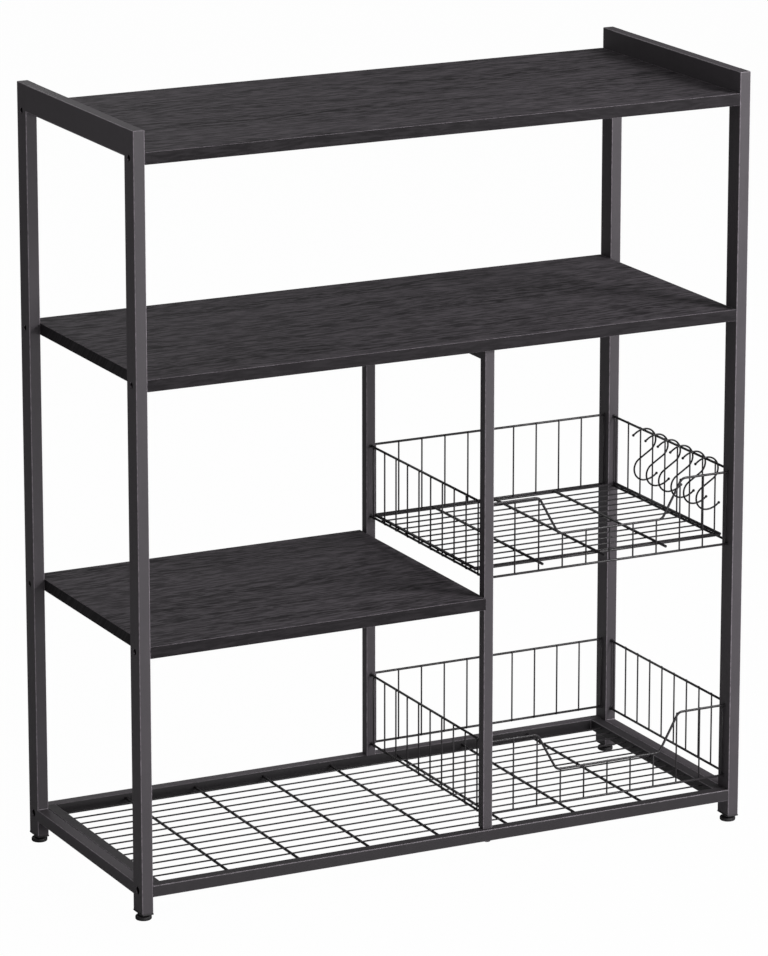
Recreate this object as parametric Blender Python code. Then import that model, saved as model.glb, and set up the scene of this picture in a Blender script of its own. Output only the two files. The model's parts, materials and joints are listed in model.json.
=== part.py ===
"""Kitchen shelf: two tube side frames, three boards, a centre frame, a wire shelf and two wire baskets with hooks.

Width runs along X, depth along Y with the front at -Y, height along Z. The origin is on the floor under the centre.
"""

import math

import bmesh
import bpy
from mathutils import Vector

# Overall size
OVERALL_WIDTH = 0.812
OVERALL_DEPTH = 0.340
OVERALL_HEIGHT = 0.950

# Clearance between touching pieces, and how far a cutter runs past what it cuts
SEAT_GAP = 0.0003
CUT_OVERRUN = 0.0008

# Side frame tube
POST_WIDTH = 0.0145
POST_DEPTH = 0.0265
POST_WALL = 0.0012
POST_CORNER = 0.0018
POST_TOP_EASE = 0.0008
TOP_RAIL_HEIGHT = 0.033
SIDE_RAIL_HEIGHT = 0.0155
CORNER_STEPS = 2

# Bottom shelf tube and the height of its upper face
SHELF_RAIL = 0.0145
SHELF_TOP = 0.044

# Boards: the top one lies under the top rails' upper edges, the others at a share of the height
BOARD_THICKNESS = 0.0145
BOARD_EDGE_EASE = 0.0006
TOP_BOARD_DROP = 0.026
TOP_BOARD_TOP = OVERALL_HEIGHT - TOP_BOARD_DROP
MIDDLE_BOARD_SHARE = 0.6922
MIDDLE_BOARD_TOP = OVERALL_HEIGHT * MIDDLE_BOARD_SHARE
HALF_BOARD_SHARE = 0.3552
HALF_BOARD_TOP = OVERALL_HEIGHT * HALF_BOARD_SHARE

# Centre frame
CENTRE_WIDTH = 0.0126
CENTRE_DEPTH = 0.0136
CENTRE_CORNER = 0.0014
CENTRE_SETBACK = 0.005
CENTRE_LEFT_FACE = 0.0497

# Screw holes through the posts into the boards and the shelf
ACCESS_HOLE_RADIUS = 0.0039
SHANK_HOLE_RADIUS = 0.0022
BOLT_HOLE_RADIUS = 0.0048
ACCESS_SIDES = 12
SHANK_SIDES = 8

# End plug and levelling foot
PLUG_FLANGE = 0.0016
PLUG_OVERHANG = 0.0005
PLUG_CORE_HEIGHT = 0.013
PLUG_CORE_CLEARANCE = 0.00035
FOOT_PAD_RADIUS = 0.0098
FOOT_PAD_HEIGHT = 0.0052
FOOT_PAD_EASE = 0.0009
FOOT_NECK_RADIUS = 0.0056
FOOT_NECK_HEIGHT = 0.0027
FOOT_STEM_RADIUS = 0.0029
FOOT_STEM_LENGTH = 0.017
STEM_CLEARANCE = 0.0004
FOOT_SIDES = 16

# Wires
THICK_RADIUS = 0.0015
RIM_RADIUS = 0.0015
THIN_RADIUS = 0.0009
WELD_SINK = 0.0003
WIRE_SIDES = 6

# Bottom wire shelf
GRID_THIN_COUNT = 13
GRID_THIN_PITCH = 0.0214
GRID_THICK_COUNT = 7
GRID_DROP = 0.0043

# Basket fences
UPPER_BASE_SHARE = 0.3776
UPPER_BASE = OVERALL_HEIGHT * UPPER_BASE_SHARE
LOWER_LIFT = 0.0155
LOWER_BASE = SHELF_TOP + LOWER_LIFT
FENCE_HEIGHT = 0.0914
SIDE_END_INSET = 0.0031
CROSS_END_INSET = 0.0014
SIDE_FENCE_WIRES = 10
CROSS_FENCE_WIRES = 11
STUB_HOLE_RADIUS = 0.0022
STUB_DEPTH = 0.0032
VERTICAL_OVERLAP = 0.0007
DIP_DEPTH = 0.0485
DIP_TOP_HALF = 0.0990
DIP_BOTTOM_HALF = 0.0720
DIP_BEND = 0.0055
BEND_STEPS = 3

# Floor tray of the upper basket
TRAY_THIN_COUNT = 12
TRAY_THIN_PITCH = 0.0214
TRAY_THICK_COUNT = 3
TRAY_THICK_PITCH = 0.0858
TRAY_THICK_SHIFT = -0.0033
TRAY_THICK_REACH = 0.149
TRAY_FRONT_STEP = 0.0092
TRAY_BACK_STEP = 0.0214
TRAY_SIDE_INSET = 0.0007
TRAY_END_OVERHANG = 0.0020

# Hooks
HOOK_COUNT = 6
HOOK_FIRST_GAP = 3
HOOK_RADIUS = 0.00115
HOOK_ARC_RADIUS = 0.0153
HOOK_TIP_ARC_RADIUS = 0.0250
HOOK_HALF_HEIGHT = 0.0334
HOOK_TIP_ANGLE = math.radians(40.0)
HOOK_BALL_RADIUS = 0.0018
HOOK_ARC_STEPS = 8
HOOK_TIP_STEPS = 3
HOOK_BALL_STEPS = 4
HOOK_POLE_SHARE = 0.8

# Places that follow from the sizes above
OUTER_X = OVERALL_WIDTH / 2
INNER_X = OUTER_X - POST_WIDTH
POST_MID_X = OUTER_X - POST_WIDTH / 2
FRONT_Y = -OVERALL_DEPTH / 2
POST_MID_Y = OVERALL_DEPTH / 2 - POST_DEPTH / 2
POST_FACE_Y = OVERALL_DEPTH / 2 - POST_DEPTH
FOOT_SHOULDER = FOOT_PAD_HEIGHT + FOOT_NECK_HEIGHT
PLUG_BASE = FOOT_SHOULDER + SEAT_GAP
POST_BASE = PLUG_BASE + PLUG_FLANGE + SEAT_GAP
SHELF_INNER_Y = OVERALL_DEPTH / 2 - SHELF_RAIL
SHELF_MID_Y = OVERALL_DEPTH / 2 - SHELF_RAIL / 2
SHELF_RAIL_X = INNER_X - SEAT_GAP
SHELF_INNER_X = SHELF_RAIL_X - SHELF_RAIL
SHELF_MID_Z = SHELF_TOP - SHELF_RAIL / 2
CENTRE_MID_X = CENTRE_LEFT_FACE + CENTRE_WIDTH / 2
CENTRE_RIGHT_FACE = CENTRE_LEFT_FACE + CENTRE_WIDTH
CENTRE_MID_Y = OVERALL_DEPTH / 2 - CENTRE_SETBACK - CENTRE_DEPTH / 2
CENTRE_FACE_Y = CENTRE_MID_Y - CENTRE_DEPTH / 2
CENTRE_TOP = MIDDLE_BOARD_TOP - BOARD_THICKNESS - SEAT_GAP
BAY_MID_X = (CENTRE_RIGHT_FACE + INNER_X) / 2
FENCE_LAP = RIM_RADIUS + THIN_RADIUS - WELD_SINK
SIDE_FENCE_PITCH = 2 * (POST_FACE_Y - SIDE_END_INSET) / (SIDE_FENCE_WIRES - 1)

# Surface looks: base colour, roughness and metallic share
COAT_LOOK = ((0.040, 0.040, 0.042), 0.52, 0.25)
BOARD_LOOK = ((0.030, 0.030, 0.031), 0.60, 0.0)
WIRE_LOOK = ((0.010, 0.010, 0.011), 0.35, 0.40)
PLASTIC_LOOK = ((0.012, 0.012, 0.012), 0.48, 0.0)

AXIS_X = Vector((1, 0, 0))
AXIS_Y = Vector((0, 1, 0))
AXIS_Z = Vector((0, 0, 1))
ALONG_X = (0, math.pi / 2, 0)
ALONG_Y = (-math.pi / 2, 0, 0)
UPRIGHT = (0, 0, 0)


def clear_scene():
    """Remove every object that the scene starts with."""
    for item in list(bpy.data.objects):
        bpy.data.objects.remove(item, do_unlink=True)


def make_material(name, look):
    """A plain surface from a base colour, a roughness and a metallic share."""
    colour, roughness, metallic = look
    material = bpy.data.materials.new(name)
    material.use_nodes = True
    shader = material.node_tree.nodes["Principled BSDF"]
    shader.inputs["Base Color"].default_value = (*colour, 1)
    shader.inputs["Roughness"].default_value = roughness
    shader.inputs["Metallic"].default_value = metallic
    material.diffuse_color = (*colour, 1)
    return material


def add_empty(name, location, parent=None):
    """A named place that pieces hang from."""
    item = bpy.data.objects.new(name, None)
    item.location = location
    item.parent = parent
    bpy.context.scene.collection.objects.link(item)
    return item


def add_piece(name, mesh, look, location=(0, 0, 0), rotation=UPRIGHT, parent=None):
    """Link a mesh as one named piece with a material of its own."""
    item = bpy.data.objects.new(name, mesh)
    item.location = location
    item.rotation_euler = rotation
    item.parent = parent
    if not mesh.materials:
        mesh.materials.append(make_material(name + "_surface", look))
    bpy.context.scene.collection.objects.link(item)
    return item


def add_guide(name, mesh, parent=None):
    """A cutter or a joining shape, which isn't a piece."""
    item = bpy.data.objects.new(name, mesh)
    item.parent = parent
    item.hide_render = True
    item.display_type = "WIRE"
    bpy.context.scene.collection.objects.link(item)
    return item


def combine(item, guide, operation):
    """Cut the guide out of the piece, or weld it on."""
    modifier = item.modifiers.new(operation.lower(), "BOOLEAN")
    modifier.operation = operation
    modifier.solver = "EXACT"
    modifier.object = guide


def finish_mesh(name, shape, smooth_angle=None):
    """Turn a shape into a mesh with its faces pointing out."""
    bmesh.ops.recalc_face_normals(shape, faces=shape.faces)
    mesh = bpy.data.meshes.new(name)
    shape.to_mesh(mesh)
    shape.free()
    if smooth_angle:
        mesh.shade_smooth()
        mesh.set_sharp_from_angle(angle=smooth_angle)
    return mesh


def rounded_outline(width, depth, radius):
    """The points of a rectangle with rounded corners, anticlockwise."""
    points = []
    for corner in range(4):
        start = corner * math.pi / 2
        sign_x = 1 if corner in (0, 3) else -1
        sign_y = 1 if corner in (0, 1) else -1
        centre_x = sign_x * (width / 2 - radius)
        centre_y = sign_y * (depth / 2 - radius)
        for step in range(CORNER_STEPS + 1):
            angle = start + step / CORNER_STEPS * math.pi / 2
            points.append((centre_x + radius * math.cos(angle), centre_y + radius * math.sin(angle)))
    return points


def matching_circle(radius):
    """A circle of as many points as a rounded outline has, each one facing its partner."""
    count = 4 * (CORNER_STEPS + 1)
    points = []
    for index in range(count):
        angle = math.pi / 4 + (index - CORNER_STEPS / 2) * 2 * math.pi / count
        points.append((radius * math.cos(angle), radius * math.sin(angle)))
    return points


def level_ring(shape, outline, height):
    """Add the points of an outline at one height."""
    return [shape.verts.new((x, y, height)) for x, y in outline]


def bridge(shape, first, second):
    """Join two rings of as many points with a band of faces."""
    count = len(first)
    for index in range(count):
        after = (index + 1) % count
        shape.faces.new((first[index], first[after], second[after], second[index]))


def skin(shape, rings, loop=False):
    """Join rings in order, and close the two ends or join them."""
    for first, second in zip(rings, rings[1:]):
        bridge(shape, first, second)
    if loop:
        bridge(shape, rings[-1], rings[0])
    else:
        shape.faces.new(rings[0])
        shape.faces.new(rings[-1])


def open_tube(name, width, depth, corner, wall, length):
    """A square tube with both ends open, standing on its middle axis."""
    shape = bmesh.new()
    outer = rounded_outline(width, depth, corner)
    inner = rounded_outline(width - 2 * wall, depth - 2 * wall, corner - wall / 2)
    rings = [level_ring(shape, outer, 0), level_ring(shape, outer, length)]
    rings += [level_ring(shape, inner, length), level_ring(shape, inner, 0)]
    skin(shape, rings, loop=True)
    return finish_mesh(name, shape)


def capped_tube(name, width, depth, corner, wall, length, ease):
    """A square tube with an open foot and a closed, slightly eased top."""
    shape = bmesh.new()
    outer = rounded_outline(width, depth, corner)
    inner = rounded_outline(width - 2 * wall, depth - 2 * wall, corner - wall / 2)
    crown = rounded_outline(width - 2 * ease, depth - 2 * ease, corner - ease / 2)
    rings = [level_ring(shape, inner, length - wall - ease), level_ring(shape, inner, 0)]
    rings += [level_ring(shape, outer, 0), level_ring(shape, outer, length - ease)]
    rings.append(level_ring(shape, crown, length))
    skin(shape, rings)
    return finish_mesh(name, shape)


def path_frames(points):
    """The direction and the mitre of a flat path at each of its points."""
    frames = []
    for index in range(len(points)):
        before = points[index] - points[max(index - 1, 0)]
        after = points[min(index + 1, len(points) - 1)] - points[index]
        before = before.normalized() if index else after.normalized()
        after = after.normalized() if index < len(points) - 1 else before
        along = (before + after).normalized()
        frames.append((along, 1 / max(along.dot(after), math.cos(math.pi / 4))))
    return frames


def sweep(shape, points, radii, sides, normal):
    """A closed round bar along a flat path. The first ridge of its section points along the path's normal."""
    rings = []
    for place, radius, (along, mitre) in zip(points, radii, path_frames(points)):
        side = normal.cross(along) * mitre
        ring = []
        for index in range(sides):
            angle = 2 * math.pi * index / sides
            offset = normal * math.cos(angle) + side * math.sin(angle)
            ring.append(shape.verts.new(place + offset * radius))
        rings.append(ring)
    skin(shape, rings)


def bar(shape, start, end, radius, sides, normal):
    """A straight round bar."""
    sweep(shape, [Vector(start), Vector(end)], [radius, radius], sides, normal)


def turned(name, profile, sides):
    """A solid of revolution about Z from radius and height pairs, bottom to top."""
    shape = bmesh.new()
    rings = []
    for radius, height in profile:
        ring = []
        for index in range(sides):
            angle = 2 * math.pi * index / sides
            ring.append(shape.verts.new((radius * math.cos(angle), radius * math.sin(angle), height)))
        rings.append(ring)
    skin(shape, rings)
    return finish_mesh(name, shape, math.radians(35.0))


def even_places(count, pitch):
    """Places at one pitch, spread evenly to both sides of zero."""
    return [(index - (count - 1) / 2) * pitch for index in range(count)]


def rounded_path(corners, bend):
    """A flat path through the corners, with each inner corner bent to one reach."""
    path = [corners[0]]
    for before, corner, after in zip(corners, corners[1:], corners[2:]):
        start = corner + (before - corner).normalized() * bend
        end = corner + (after - corner).normalized() * bend
        for step in range(BEND_STEPS + 1):
            share = step / BEND_STEPS
            path.append(start * (1 - share) ** 2 + corner * 2 * share * (1 - share) + end * share**2)
    path.append(corners[-1])
    return path


def board_levels(side):
    """The mid heights of the boards that a side frame carries."""
    tops = [TOP_BOARD_TOP, MIDDLE_BOARD_TOP]
    if side < 0:
        tops.append(HALF_BOARD_TOP)
    return [top - BOARD_THICKNESS / 2 for top in tops]


def screw_cut(shape, outer_face, side, y, z, radius, width):
    """An access hole in the outer wall and a smaller one in the inner wall, along X."""
    start = outer_face + side * CUT_OVERRUN
    access_end = outer_face - side * (POST_WALL + CUT_OVERRUN)
    shank_start = outer_face - side * (width - POST_WALL - CUT_OVERRUN)
    shank_end = outer_face - side * (width + CUT_OVERRUN)
    bar(shape, (start, y, z), (access_end, y, z), radius, ACCESS_SIDES, AXIS_Z)
    bar(shape, (shank_start, y, z), (shank_end, y, z), SHANK_HOLE_RADIUS, SHANK_SIDES, AXIS_Z)


def stub_cut(shape, face, inward, wall):
    """A hole through one wall for a fence wire's end. The face point is on the wire's axis."""
    start = Vector(face) - inward * CUT_OVERRUN
    end = Vector(face) + inward * (wall + CUT_OVERRUN)
    bar(shape, start, end, STUB_HOLE_RADIUS, SHANK_SIDES, AXIS_Z)


def rim_heights():
    """The heights of the fence wires that the posts of the basket bay hold."""
    heights = []
    for base in (LOWER_BASE, UPPER_BASE):
        heights += [base, base + FENCE_HEIGHT]
    return heights


def post_cutter(name, side, end):
    """All the holes of one side frame post. Side is -1 on the left, end is -1 at the front."""
    shape = bmesh.new()
    mid_y = end * POST_MID_Y
    for height in board_levels(side):
        screw_cut(shape, side * OUTER_X, side, mid_y, height, ACCESS_HOLE_RADIUS, POST_WIDTH)
    screw_cut(shape, side * OUTER_X, side, mid_y, SHELF_MID_Z, BOLT_HOLE_RADIUS, POST_WIDTH)
    if side > 0:
        for height in rim_heights():
            stub_cut(shape, (INNER_X, mid_y, height), AXIS_X, POST_WALL)
            stub_cut(shape, (POST_MID_X, end * POST_FACE_Y, height), AXIS_Y * end, POST_WALL)
    return add_guide(name + "_holes", finish_mesh(name + "_holes", shape))


def make_post(name, side, end):
    """One upright of a side frame."""
    length = OVERALL_HEIGHT - POST_BASE
    mesh = capped_tube(name, POST_WIDTH, POST_DEPTH, POST_CORNER, POST_WALL, length, POST_TOP_EASE)
    post = add_piece(name, mesh, COAT_LOOK, (side * POST_MID_X, end * POST_MID_Y, POST_BASE))
    combine(post, post_cutter(name, side, end), "DIFFERENCE")


def make_side_rail(name, side, height, top):
    """A rail between the front and the back post of a side frame."""
    reach = POST_FACE_Y - SEAT_GAP
    mesh = open_tube(name, POST_WIDTH, height, POST_CORNER, POST_WALL, 2 * reach)
    add_piece(name, mesh, COAT_LOOK, (side * POST_MID_X, -reach, top - height / 2), ALONG_Y)


def make_side_frames():
    """Both side frames: two posts, a deep top rail and a bottom rail each."""
    for label, side in (("left", -1), ("right", 1)):
        make_post(label + "_front_post", side, -1)
        make_post(label + "_back_post", side, 1)
        make_side_rail(label + "_top_rail", side, TOP_RAIL_HEIGHT, OVERALL_HEIGHT)
        make_side_rail(label + "_bottom_rail", side, SIDE_RAIL_HEIGHT, SHELF_TOP)


def centre_cutter(name, end):
    """The holes of a centre post: screws into the half board, and the fence wires' ends."""
    shape = bmesh.new()
    mid_y = end * CENTRE_MID_Y
    height = HALF_BOARD_TOP - BOARD_THICKNESS / 2
    screw_cut(shape, CENTRE_RIGHT_FACE, 1, mid_y, height, ACCESS_HOLE_RADIUS, CENTRE_WIDTH)
    for height in rim_heights():
        stub_cut(shape, (CENTRE_RIGHT_FACE, end * POST_MID_Y, height), -AXIS_X, POST_WALL)
        stub_cut(shape, (CENTRE_MID_X, end * CENTRE_FACE_Y, height), AXIS_Y * end, POST_WALL)
    return add_guide(name + "_holes", finish_mesh(name + "_holes", shape))


def make_centre_frame():
    """Two thinner posts between the wire shelf and the middle board, with a rail between their tops."""
    base = SHELF_TOP + SEAT_GAP
    for label, end in (("front", -1), ("back", 1)):
        name = "centre_" + label + "_post"
        mesh = open_tube(name, CENTRE_WIDTH, CENTRE_DEPTH, CENTRE_CORNER, POST_WALL, CENTRE_TOP - base)
        post = add_piece(name, mesh, COAT_LOOK, (CENTRE_MID_X, end * CENTRE_MID_Y, base))
        combine(post, centre_cutter(name, end), "DIFFERENCE")
    name = "centre_top_rail"
    reach = CENTRE_FACE_Y - SEAT_GAP
    mesh = open_tube(name, CENTRE_WIDTH, CENTRE_DEPTH, CENTRE_CORNER, POST_WALL, 2 * reach)
    add_piece(name, mesh, COAT_LOOK, (CENTRE_MID_X, -reach, CENTRE_TOP - CENTRE_DEPTH / 2), ALONG_Y)


def make_board(name, left, right, top):
    """A flat board with lightly eased edges."""
    shape = bmesh.new()
    corners = [(left, FRONT_Y), (right, FRONT_Y), (right, -FRONT_Y), (left, -FRONT_Y)]
    middle = (left + right) / 2
    outline = [(x - middle, y) for x, y in corners]
    skin(shape, [level_ring(shape, outline, -BOARD_THICKNESS), level_ring(shape, outline, 0)])
    board = add_piece(name, finish_mesh(name, shape), BOARD_LOOK, (middle, 0, top))
    modifier = board.modifiers.new("eased_edges", "BEVEL")
    modifier.width = BOARD_EDGE_EASE
    modifier.segments = 1


def make_boards():
    """The full boards between the side frames, and the half board up to the centre frame."""
    reach = INNER_X - SEAT_GAP
    make_board("top_board", -reach, reach, TOP_BOARD_TOP)
    make_board("middle_board", -reach, reach, MIDDLE_BOARD_TOP)
    make_board("half_board", -reach, CENTRE_LEFT_FACE - SEAT_GAP, HALF_BOARD_TOP)


def make_shelf_rails():
    """The tube frame of the bottom shelf."""
    for label, end in (("front", -1), ("back", 1)):
        name = "shelf_" + label + "_rail"
        mesh = open_tube(name, SHELF_RAIL, SHELF_RAIL, POST_CORNER, POST_WALL, 2 * SHELF_RAIL_X)
        add_piece(name, mesh, COAT_LOOK, (-SHELF_RAIL_X, end * SHELF_MID_Y, SHELF_MID_Z), ALONG_X)
    reach = SHELF_INNER_Y - SEAT_GAP
    for label, side in (("left", -1), ("right", 1)):
        name = "shelf_" + label + "_rail"
        mesh = open_tube(name, SHELF_RAIL, SHELF_RAIL, POST_CORNER, POST_WALL, 2 * reach)
        middle = side * (SHELF_RAIL_X - SHELF_RAIL / 2)
        add_piece(name, mesh, COAT_LOOK, (middle, -reach, SHELF_MID_Z), ALONG_Y)


def make_wire_grid():
    """The wire floor of the bottom shelf: thin wires along X welded onto thick ones along Y."""
    thin_z = SHELF_TOP - GRID_DROP
    thick_z = thin_z - THIN_RADIUS - THICK_RADIUS + WELD_SINK
    reach_x = SHELF_INNER_X - SEAT_GAP
    reach_y = SHELF_INNER_Y - SEAT_GAP
    thin = bmesh.new()
    for y in even_places(GRID_THIN_COUNT, GRID_THIN_PITCH):
        bar(thin, (-reach_x, y, thin_z), (reach_x, y, thin_z), THIN_RADIUS, WIRE_SIDES, AXIS_Z)
    thick = bmesh.new()
    for x in even_places(GRID_THICK_COUNT, 2 * SHELF_INNER_X / (GRID_THICK_COUNT + 1)):
        bar(thick, (x, -reach_y, thick_z), (x, reach_y, thick_z), THICK_RADIUS, WIRE_SIDES, AXIS_Z)
    grid = add_piece("shelf_wire_grid", finish_mesh("shelf_wire_grid", thin), WIRE_LOOK)
    combine(grid, add_guide("shelf_wire_grid_cross", finish_mesh("shelf_wire_grid_cross", thick)), "UNION")


def make_fence(name, rims, uprights, basket):
    """Weld the uprights of a fence to its long wires."""
    fence = add_piece(name, finish_mesh(name, rims), WIRE_LOOK, parent=basket)
    guide = add_guide(name + "_uprights", finish_mesh(name + "_uprights", uprights), basket)
    combine(fence, guide, "UNION")


def upright(shape, x, y, top, normal):
    """One thin wire of a fence, from just under the bottom wire to just over the wire above it."""
    start = (x, y, -VERTICAL_OVERLAP)
    bar(shape, start, (x, y, top + VERTICAL_OVERLAP), THIN_RADIUS, WIRE_SIDES, normal)


def make_side_fence(name, x, outward, face_y, basket):
    """A fence along Y whose two long wires end in the posts at its ends."""
    reach = face_y + STUB_DEPTH
    rims = bmesh.new()
    for z in (0, FENCE_HEIGHT):
        bar(rims, (x, -reach, z), (x, reach, z), RIM_RADIUS, WIRE_SIDES, AXIS_X)
    uprights = bmesh.new()
    for y in even_places(SIDE_FENCE_WIRES, SIDE_FENCE_PITCH):
        upright(uprights, x + outward * FENCE_LAP, y, FENCE_HEIGHT, AXIS_X)
    make_fence(name, rims, uprights, basket)


def cross_fence_places():
    """The X places of the uprights of a front or back fence, from the bay's middle."""
    span = INNER_X - CENTRE_RIGHT_FACE - 2 * CROSS_END_INSET
    return even_places(CROSS_FENCE_WIRES, span / (CROSS_FENCE_WIRES - 1))


def dip_height(offset):
    """The height of the front fence's top wire at a distance from the bay's middle."""
    run = DIP_TOP_HALF - DIP_BOTTOM_HALF
    share = min(max((abs(offset) - DIP_BOTTOM_HALF) / run, 0), 1)
    return FENCE_HEIGHT - DIP_DEPTH * (1 - share)


def make_cross_fence(name, end, dipped, basket):
    """A fence along X between the centre post and the right post. The front one dips in the middle."""
    y = end * POST_MID_Y
    left = CENTRE_RIGHT_FACE - STUB_DEPTH
    right = INNER_X + STUB_DEPTH
    corners = [Vector((left, y, FENCE_HEIGHT)), Vector((right, y, FENCE_HEIGHT))]
    if dipped:
        low = FENCE_HEIGHT - DIP_DEPTH
        halves = ((-DIP_TOP_HALF, FENCE_HEIGHT), (-DIP_BOTTOM_HALF, low))
        halves += ((DIP_BOTTOM_HALF, low), (DIP_TOP_HALF, FENCE_HEIGHT))
        corners[1:1] = [Vector((BAY_MID_X + offset, y, z)) for offset, z in halves]
    rims = bmesh.new()
    path = rounded_path(corners, DIP_BEND)
    sweep(rims, path, [RIM_RADIUS] * len(path), WIRE_SIDES, AXIS_Y)
    bar(rims, (left, y, 0), (right, y, 0), RIM_RADIUS, WIRE_SIDES, AXIS_Y)
    uprights = bmesh.new()
    for offset in cross_fence_places():
        top = dip_height(offset) if dipped else FENCE_HEIGHT
        upright(uprights, BAY_MID_X + offset, y - end * FENCE_LAP, top, AXIS_Y)
    make_fence(name, rims, uprights, basket)


def make_basket(label, base):
    """The four fences of a basket, all hung from one place."""
    basket = add_empty(label + "_basket", (0, 0, base))
    make_side_fence(label + "_left_fence", CENTRE_MID_X, -1, CENTRE_FACE_Y, basket)
    make_side_fence(label + "_right_fence", POST_MID_X, 1, POST_FACE_Y, basket)
    make_cross_fence(label + "_back_fence", 1, False, basket)
    make_cross_fence(label + "_front_fence", -1, True, basket)
    return basket


def make_tray(basket):
    """The wire floor that rests on the bottom wires of the side fences."""
    thin_z = RIM_RADIUS + THIN_RADIUS + SEAT_GAP
    rim_z = 2 * RIM_RADIUS + SEAT_GAP
    thick_z = thin_z + THIN_RADIUS + THICK_RADIUS - WELD_SINK
    side_z = thin_z + THIN_RADIUS + RIM_RADIUS - WELD_SINK
    left = CENTRE_MID_X - RIM_RADIUS - TRAY_END_OVERHANG
    right = POST_MID_X + RIM_RADIUS + TRAY_END_OVERHANG
    places = even_places(TRAY_THIN_COUNT, TRAY_THIN_PITCH)
    front_y = -places[-1] - TRAY_FRONT_STEP
    back_y = places[-1] + TRAY_BACK_STEP
    across = bmesh.new()
    for y in places:
        bar(across, (left, y, thin_z), (right, y, thin_z), THIN_RADIUS, WIRE_SIDES, AXIS_Z)
    for y in (front_y, back_y):
        start = (CENTRE_MID_X, y, rim_z)
        bar(across, start, (POST_MID_X, y, rim_z), RIM_RADIUS, WIRE_SIDES, AXIS_Z)
    along = bmesh.new()
    back_end = back_y + RIM_RADIUS
    for x in even_places(TRAY_THICK_COUNT, TRAY_THICK_PITCH):
        place = BAY_MID_X + TRAY_THICK_SHIFT + x
        start = (place, -TRAY_THICK_REACH, thick_z)
        bar(along, start, (place, back_end, thick_z), THICK_RADIUS, WIRE_SIDES, AXIS_Z)
    for x in (CENTRE_MID_X + TRAY_SIDE_INSET, POST_MID_X - TRAY_SIDE_INSET):
        start = (x, front_y - RIM_RADIUS, side_z)
        bar(along, start, (x, back_end, side_z), RIM_RADIUS, WIRE_SIDES, AXIS_Z)
    tray = add_piece("upper_floor_tray", finish_mesh("upper_floor_tray", across), WIRE_LOOK, parent=basket)
    guide = add_guide("upper_floor_tray_along", finish_mesh("upper_floor_tray_along", along), basket)
    combine(tray, guide, "UNION")


def hook_half():
    """The upper half of a hook's centre line, from its ball tip to the tangent point, about the hook's middle."""
    tip_centre = HOOK_HALF_HEIGHT - HOOK_TIP_ARC_RADIUS
    centre = HOOK_HALF_HEIGHT - HOOK_ARC_RADIUS
    points = []
    for step in range(HOOK_TIP_STEPS):
        angle = math.pi / 2 + HOOK_TIP_ANGLE * (1 - step / HOOK_TIP_STEPS)
        radius = HOOK_TIP_ARC_RADIUS
        points.append(Vector((radius * math.cos(angle), 0, tip_centre + radius * math.sin(angle))))
    last = -math.asin(HOOK_ARC_RADIUS / centre)
    for step in range(HOOK_ARC_STEPS + 1):
        angle = math.pi / 2 + (last - math.pi / 2) * step / HOOK_ARC_STEPS
        radius = HOOK_ARC_RADIUS
        points.append(Vector((radius * math.cos(angle), 0, centre + radius * math.sin(angle))))
    return points


def ball_end(points):
    """Rings that swell a bar's end into a ball, from its far pole to where the ball meets the bar."""
    along = (points[0] - points[1]).normalized()
    meet = math.acos(HOOK_RADIUS / HOOK_BALL_RADIUS)
    pole = math.pi / 2 * HOOK_POLE_SHARE
    places = []
    radii = []
    for step in range(HOOK_BALL_STEPS):
        angle = pole - (pole + meet) * step / (HOOK_BALL_STEPS - 1)
        rise = math.sin(angle) + math.sin(meet)
        places.append(points[0] + along * HOOK_BALL_RADIUS * rise)
        radii.append(HOOK_BALL_RADIUS * math.cos(angle))
    return places, radii


def hook_mesh():
    """An S hook with ball tips, its origin on the axis of the wire that it hangs on."""
    drop = RIM_RADIUS + SEAT_GAP + HOOK_RADIUS - HOOK_HALF_HEIGHT
    half = hook_half()
    places, radii = ball_end(half)
    upper = places + half[1:]
    radii += [HOOK_RADIUS] * (len(half) - 1)
    lower = [-point for point in reversed(upper)]
    path = [point + AXIS_Z * drop for point in upper + lower]
    shape = bmesh.new()
    sweep(shape, path, radii + radii[::-1], WIRE_SIDES, AXIS_Y)
    return finish_mesh("s_hook", shape, math.radians(50.0))


def make_hooks(basket):
    """Hooks on the right fence's top wire, one in each gap between uprights from the back."""
    mesh = hook_mesh()
    first = SIDE_FENCE_WIRES / 2 - HOOK_FIRST_GAP
    for index in range(HOOK_COUNT):
        place = (POST_MID_X, (first - index) * SIDE_FENCE_PITCH, FENCE_HEIGHT)
        add_piece("s_hook_" + str(index + 1), mesh, WIRE_LOOK, place, parent=basket)


def plug_mesh():
    """A plug for a post's foot: a thin flange, a core inside the tube and a bore for the foot's stem."""
    shape = bmesh.new()
    grown = 2 * PLUG_OVERHANG
    flange = rounded_outline(POST_WIDTH + grown, POST_DEPTH + grown, POST_CORNER + PLUG_OVERHANG)
    shrink = 2 * (POST_WALL + PLUG_CORE_CLEARANCE)
    core = rounded_outline(POST_WIDTH - shrink, POST_DEPTH - shrink, POST_CORNER / 2)
    bore = matching_circle(FOOT_STEM_RADIUS + STEM_CLEARANCE)
    top = PLUG_FLANGE + PLUG_CORE_HEIGHT
    rings = [level_ring(shape, bore, 0), level_ring(shape, flange, 0), level_ring(shape, flange, PLUG_FLANGE)]
    rings += [level_ring(shape, core, PLUG_FLANGE), level_ring(shape, core, top), level_ring(shape, bore, top)]
    skin(shape, rings, loop=True)
    return finish_mesh("post_plug", shape)


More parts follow.
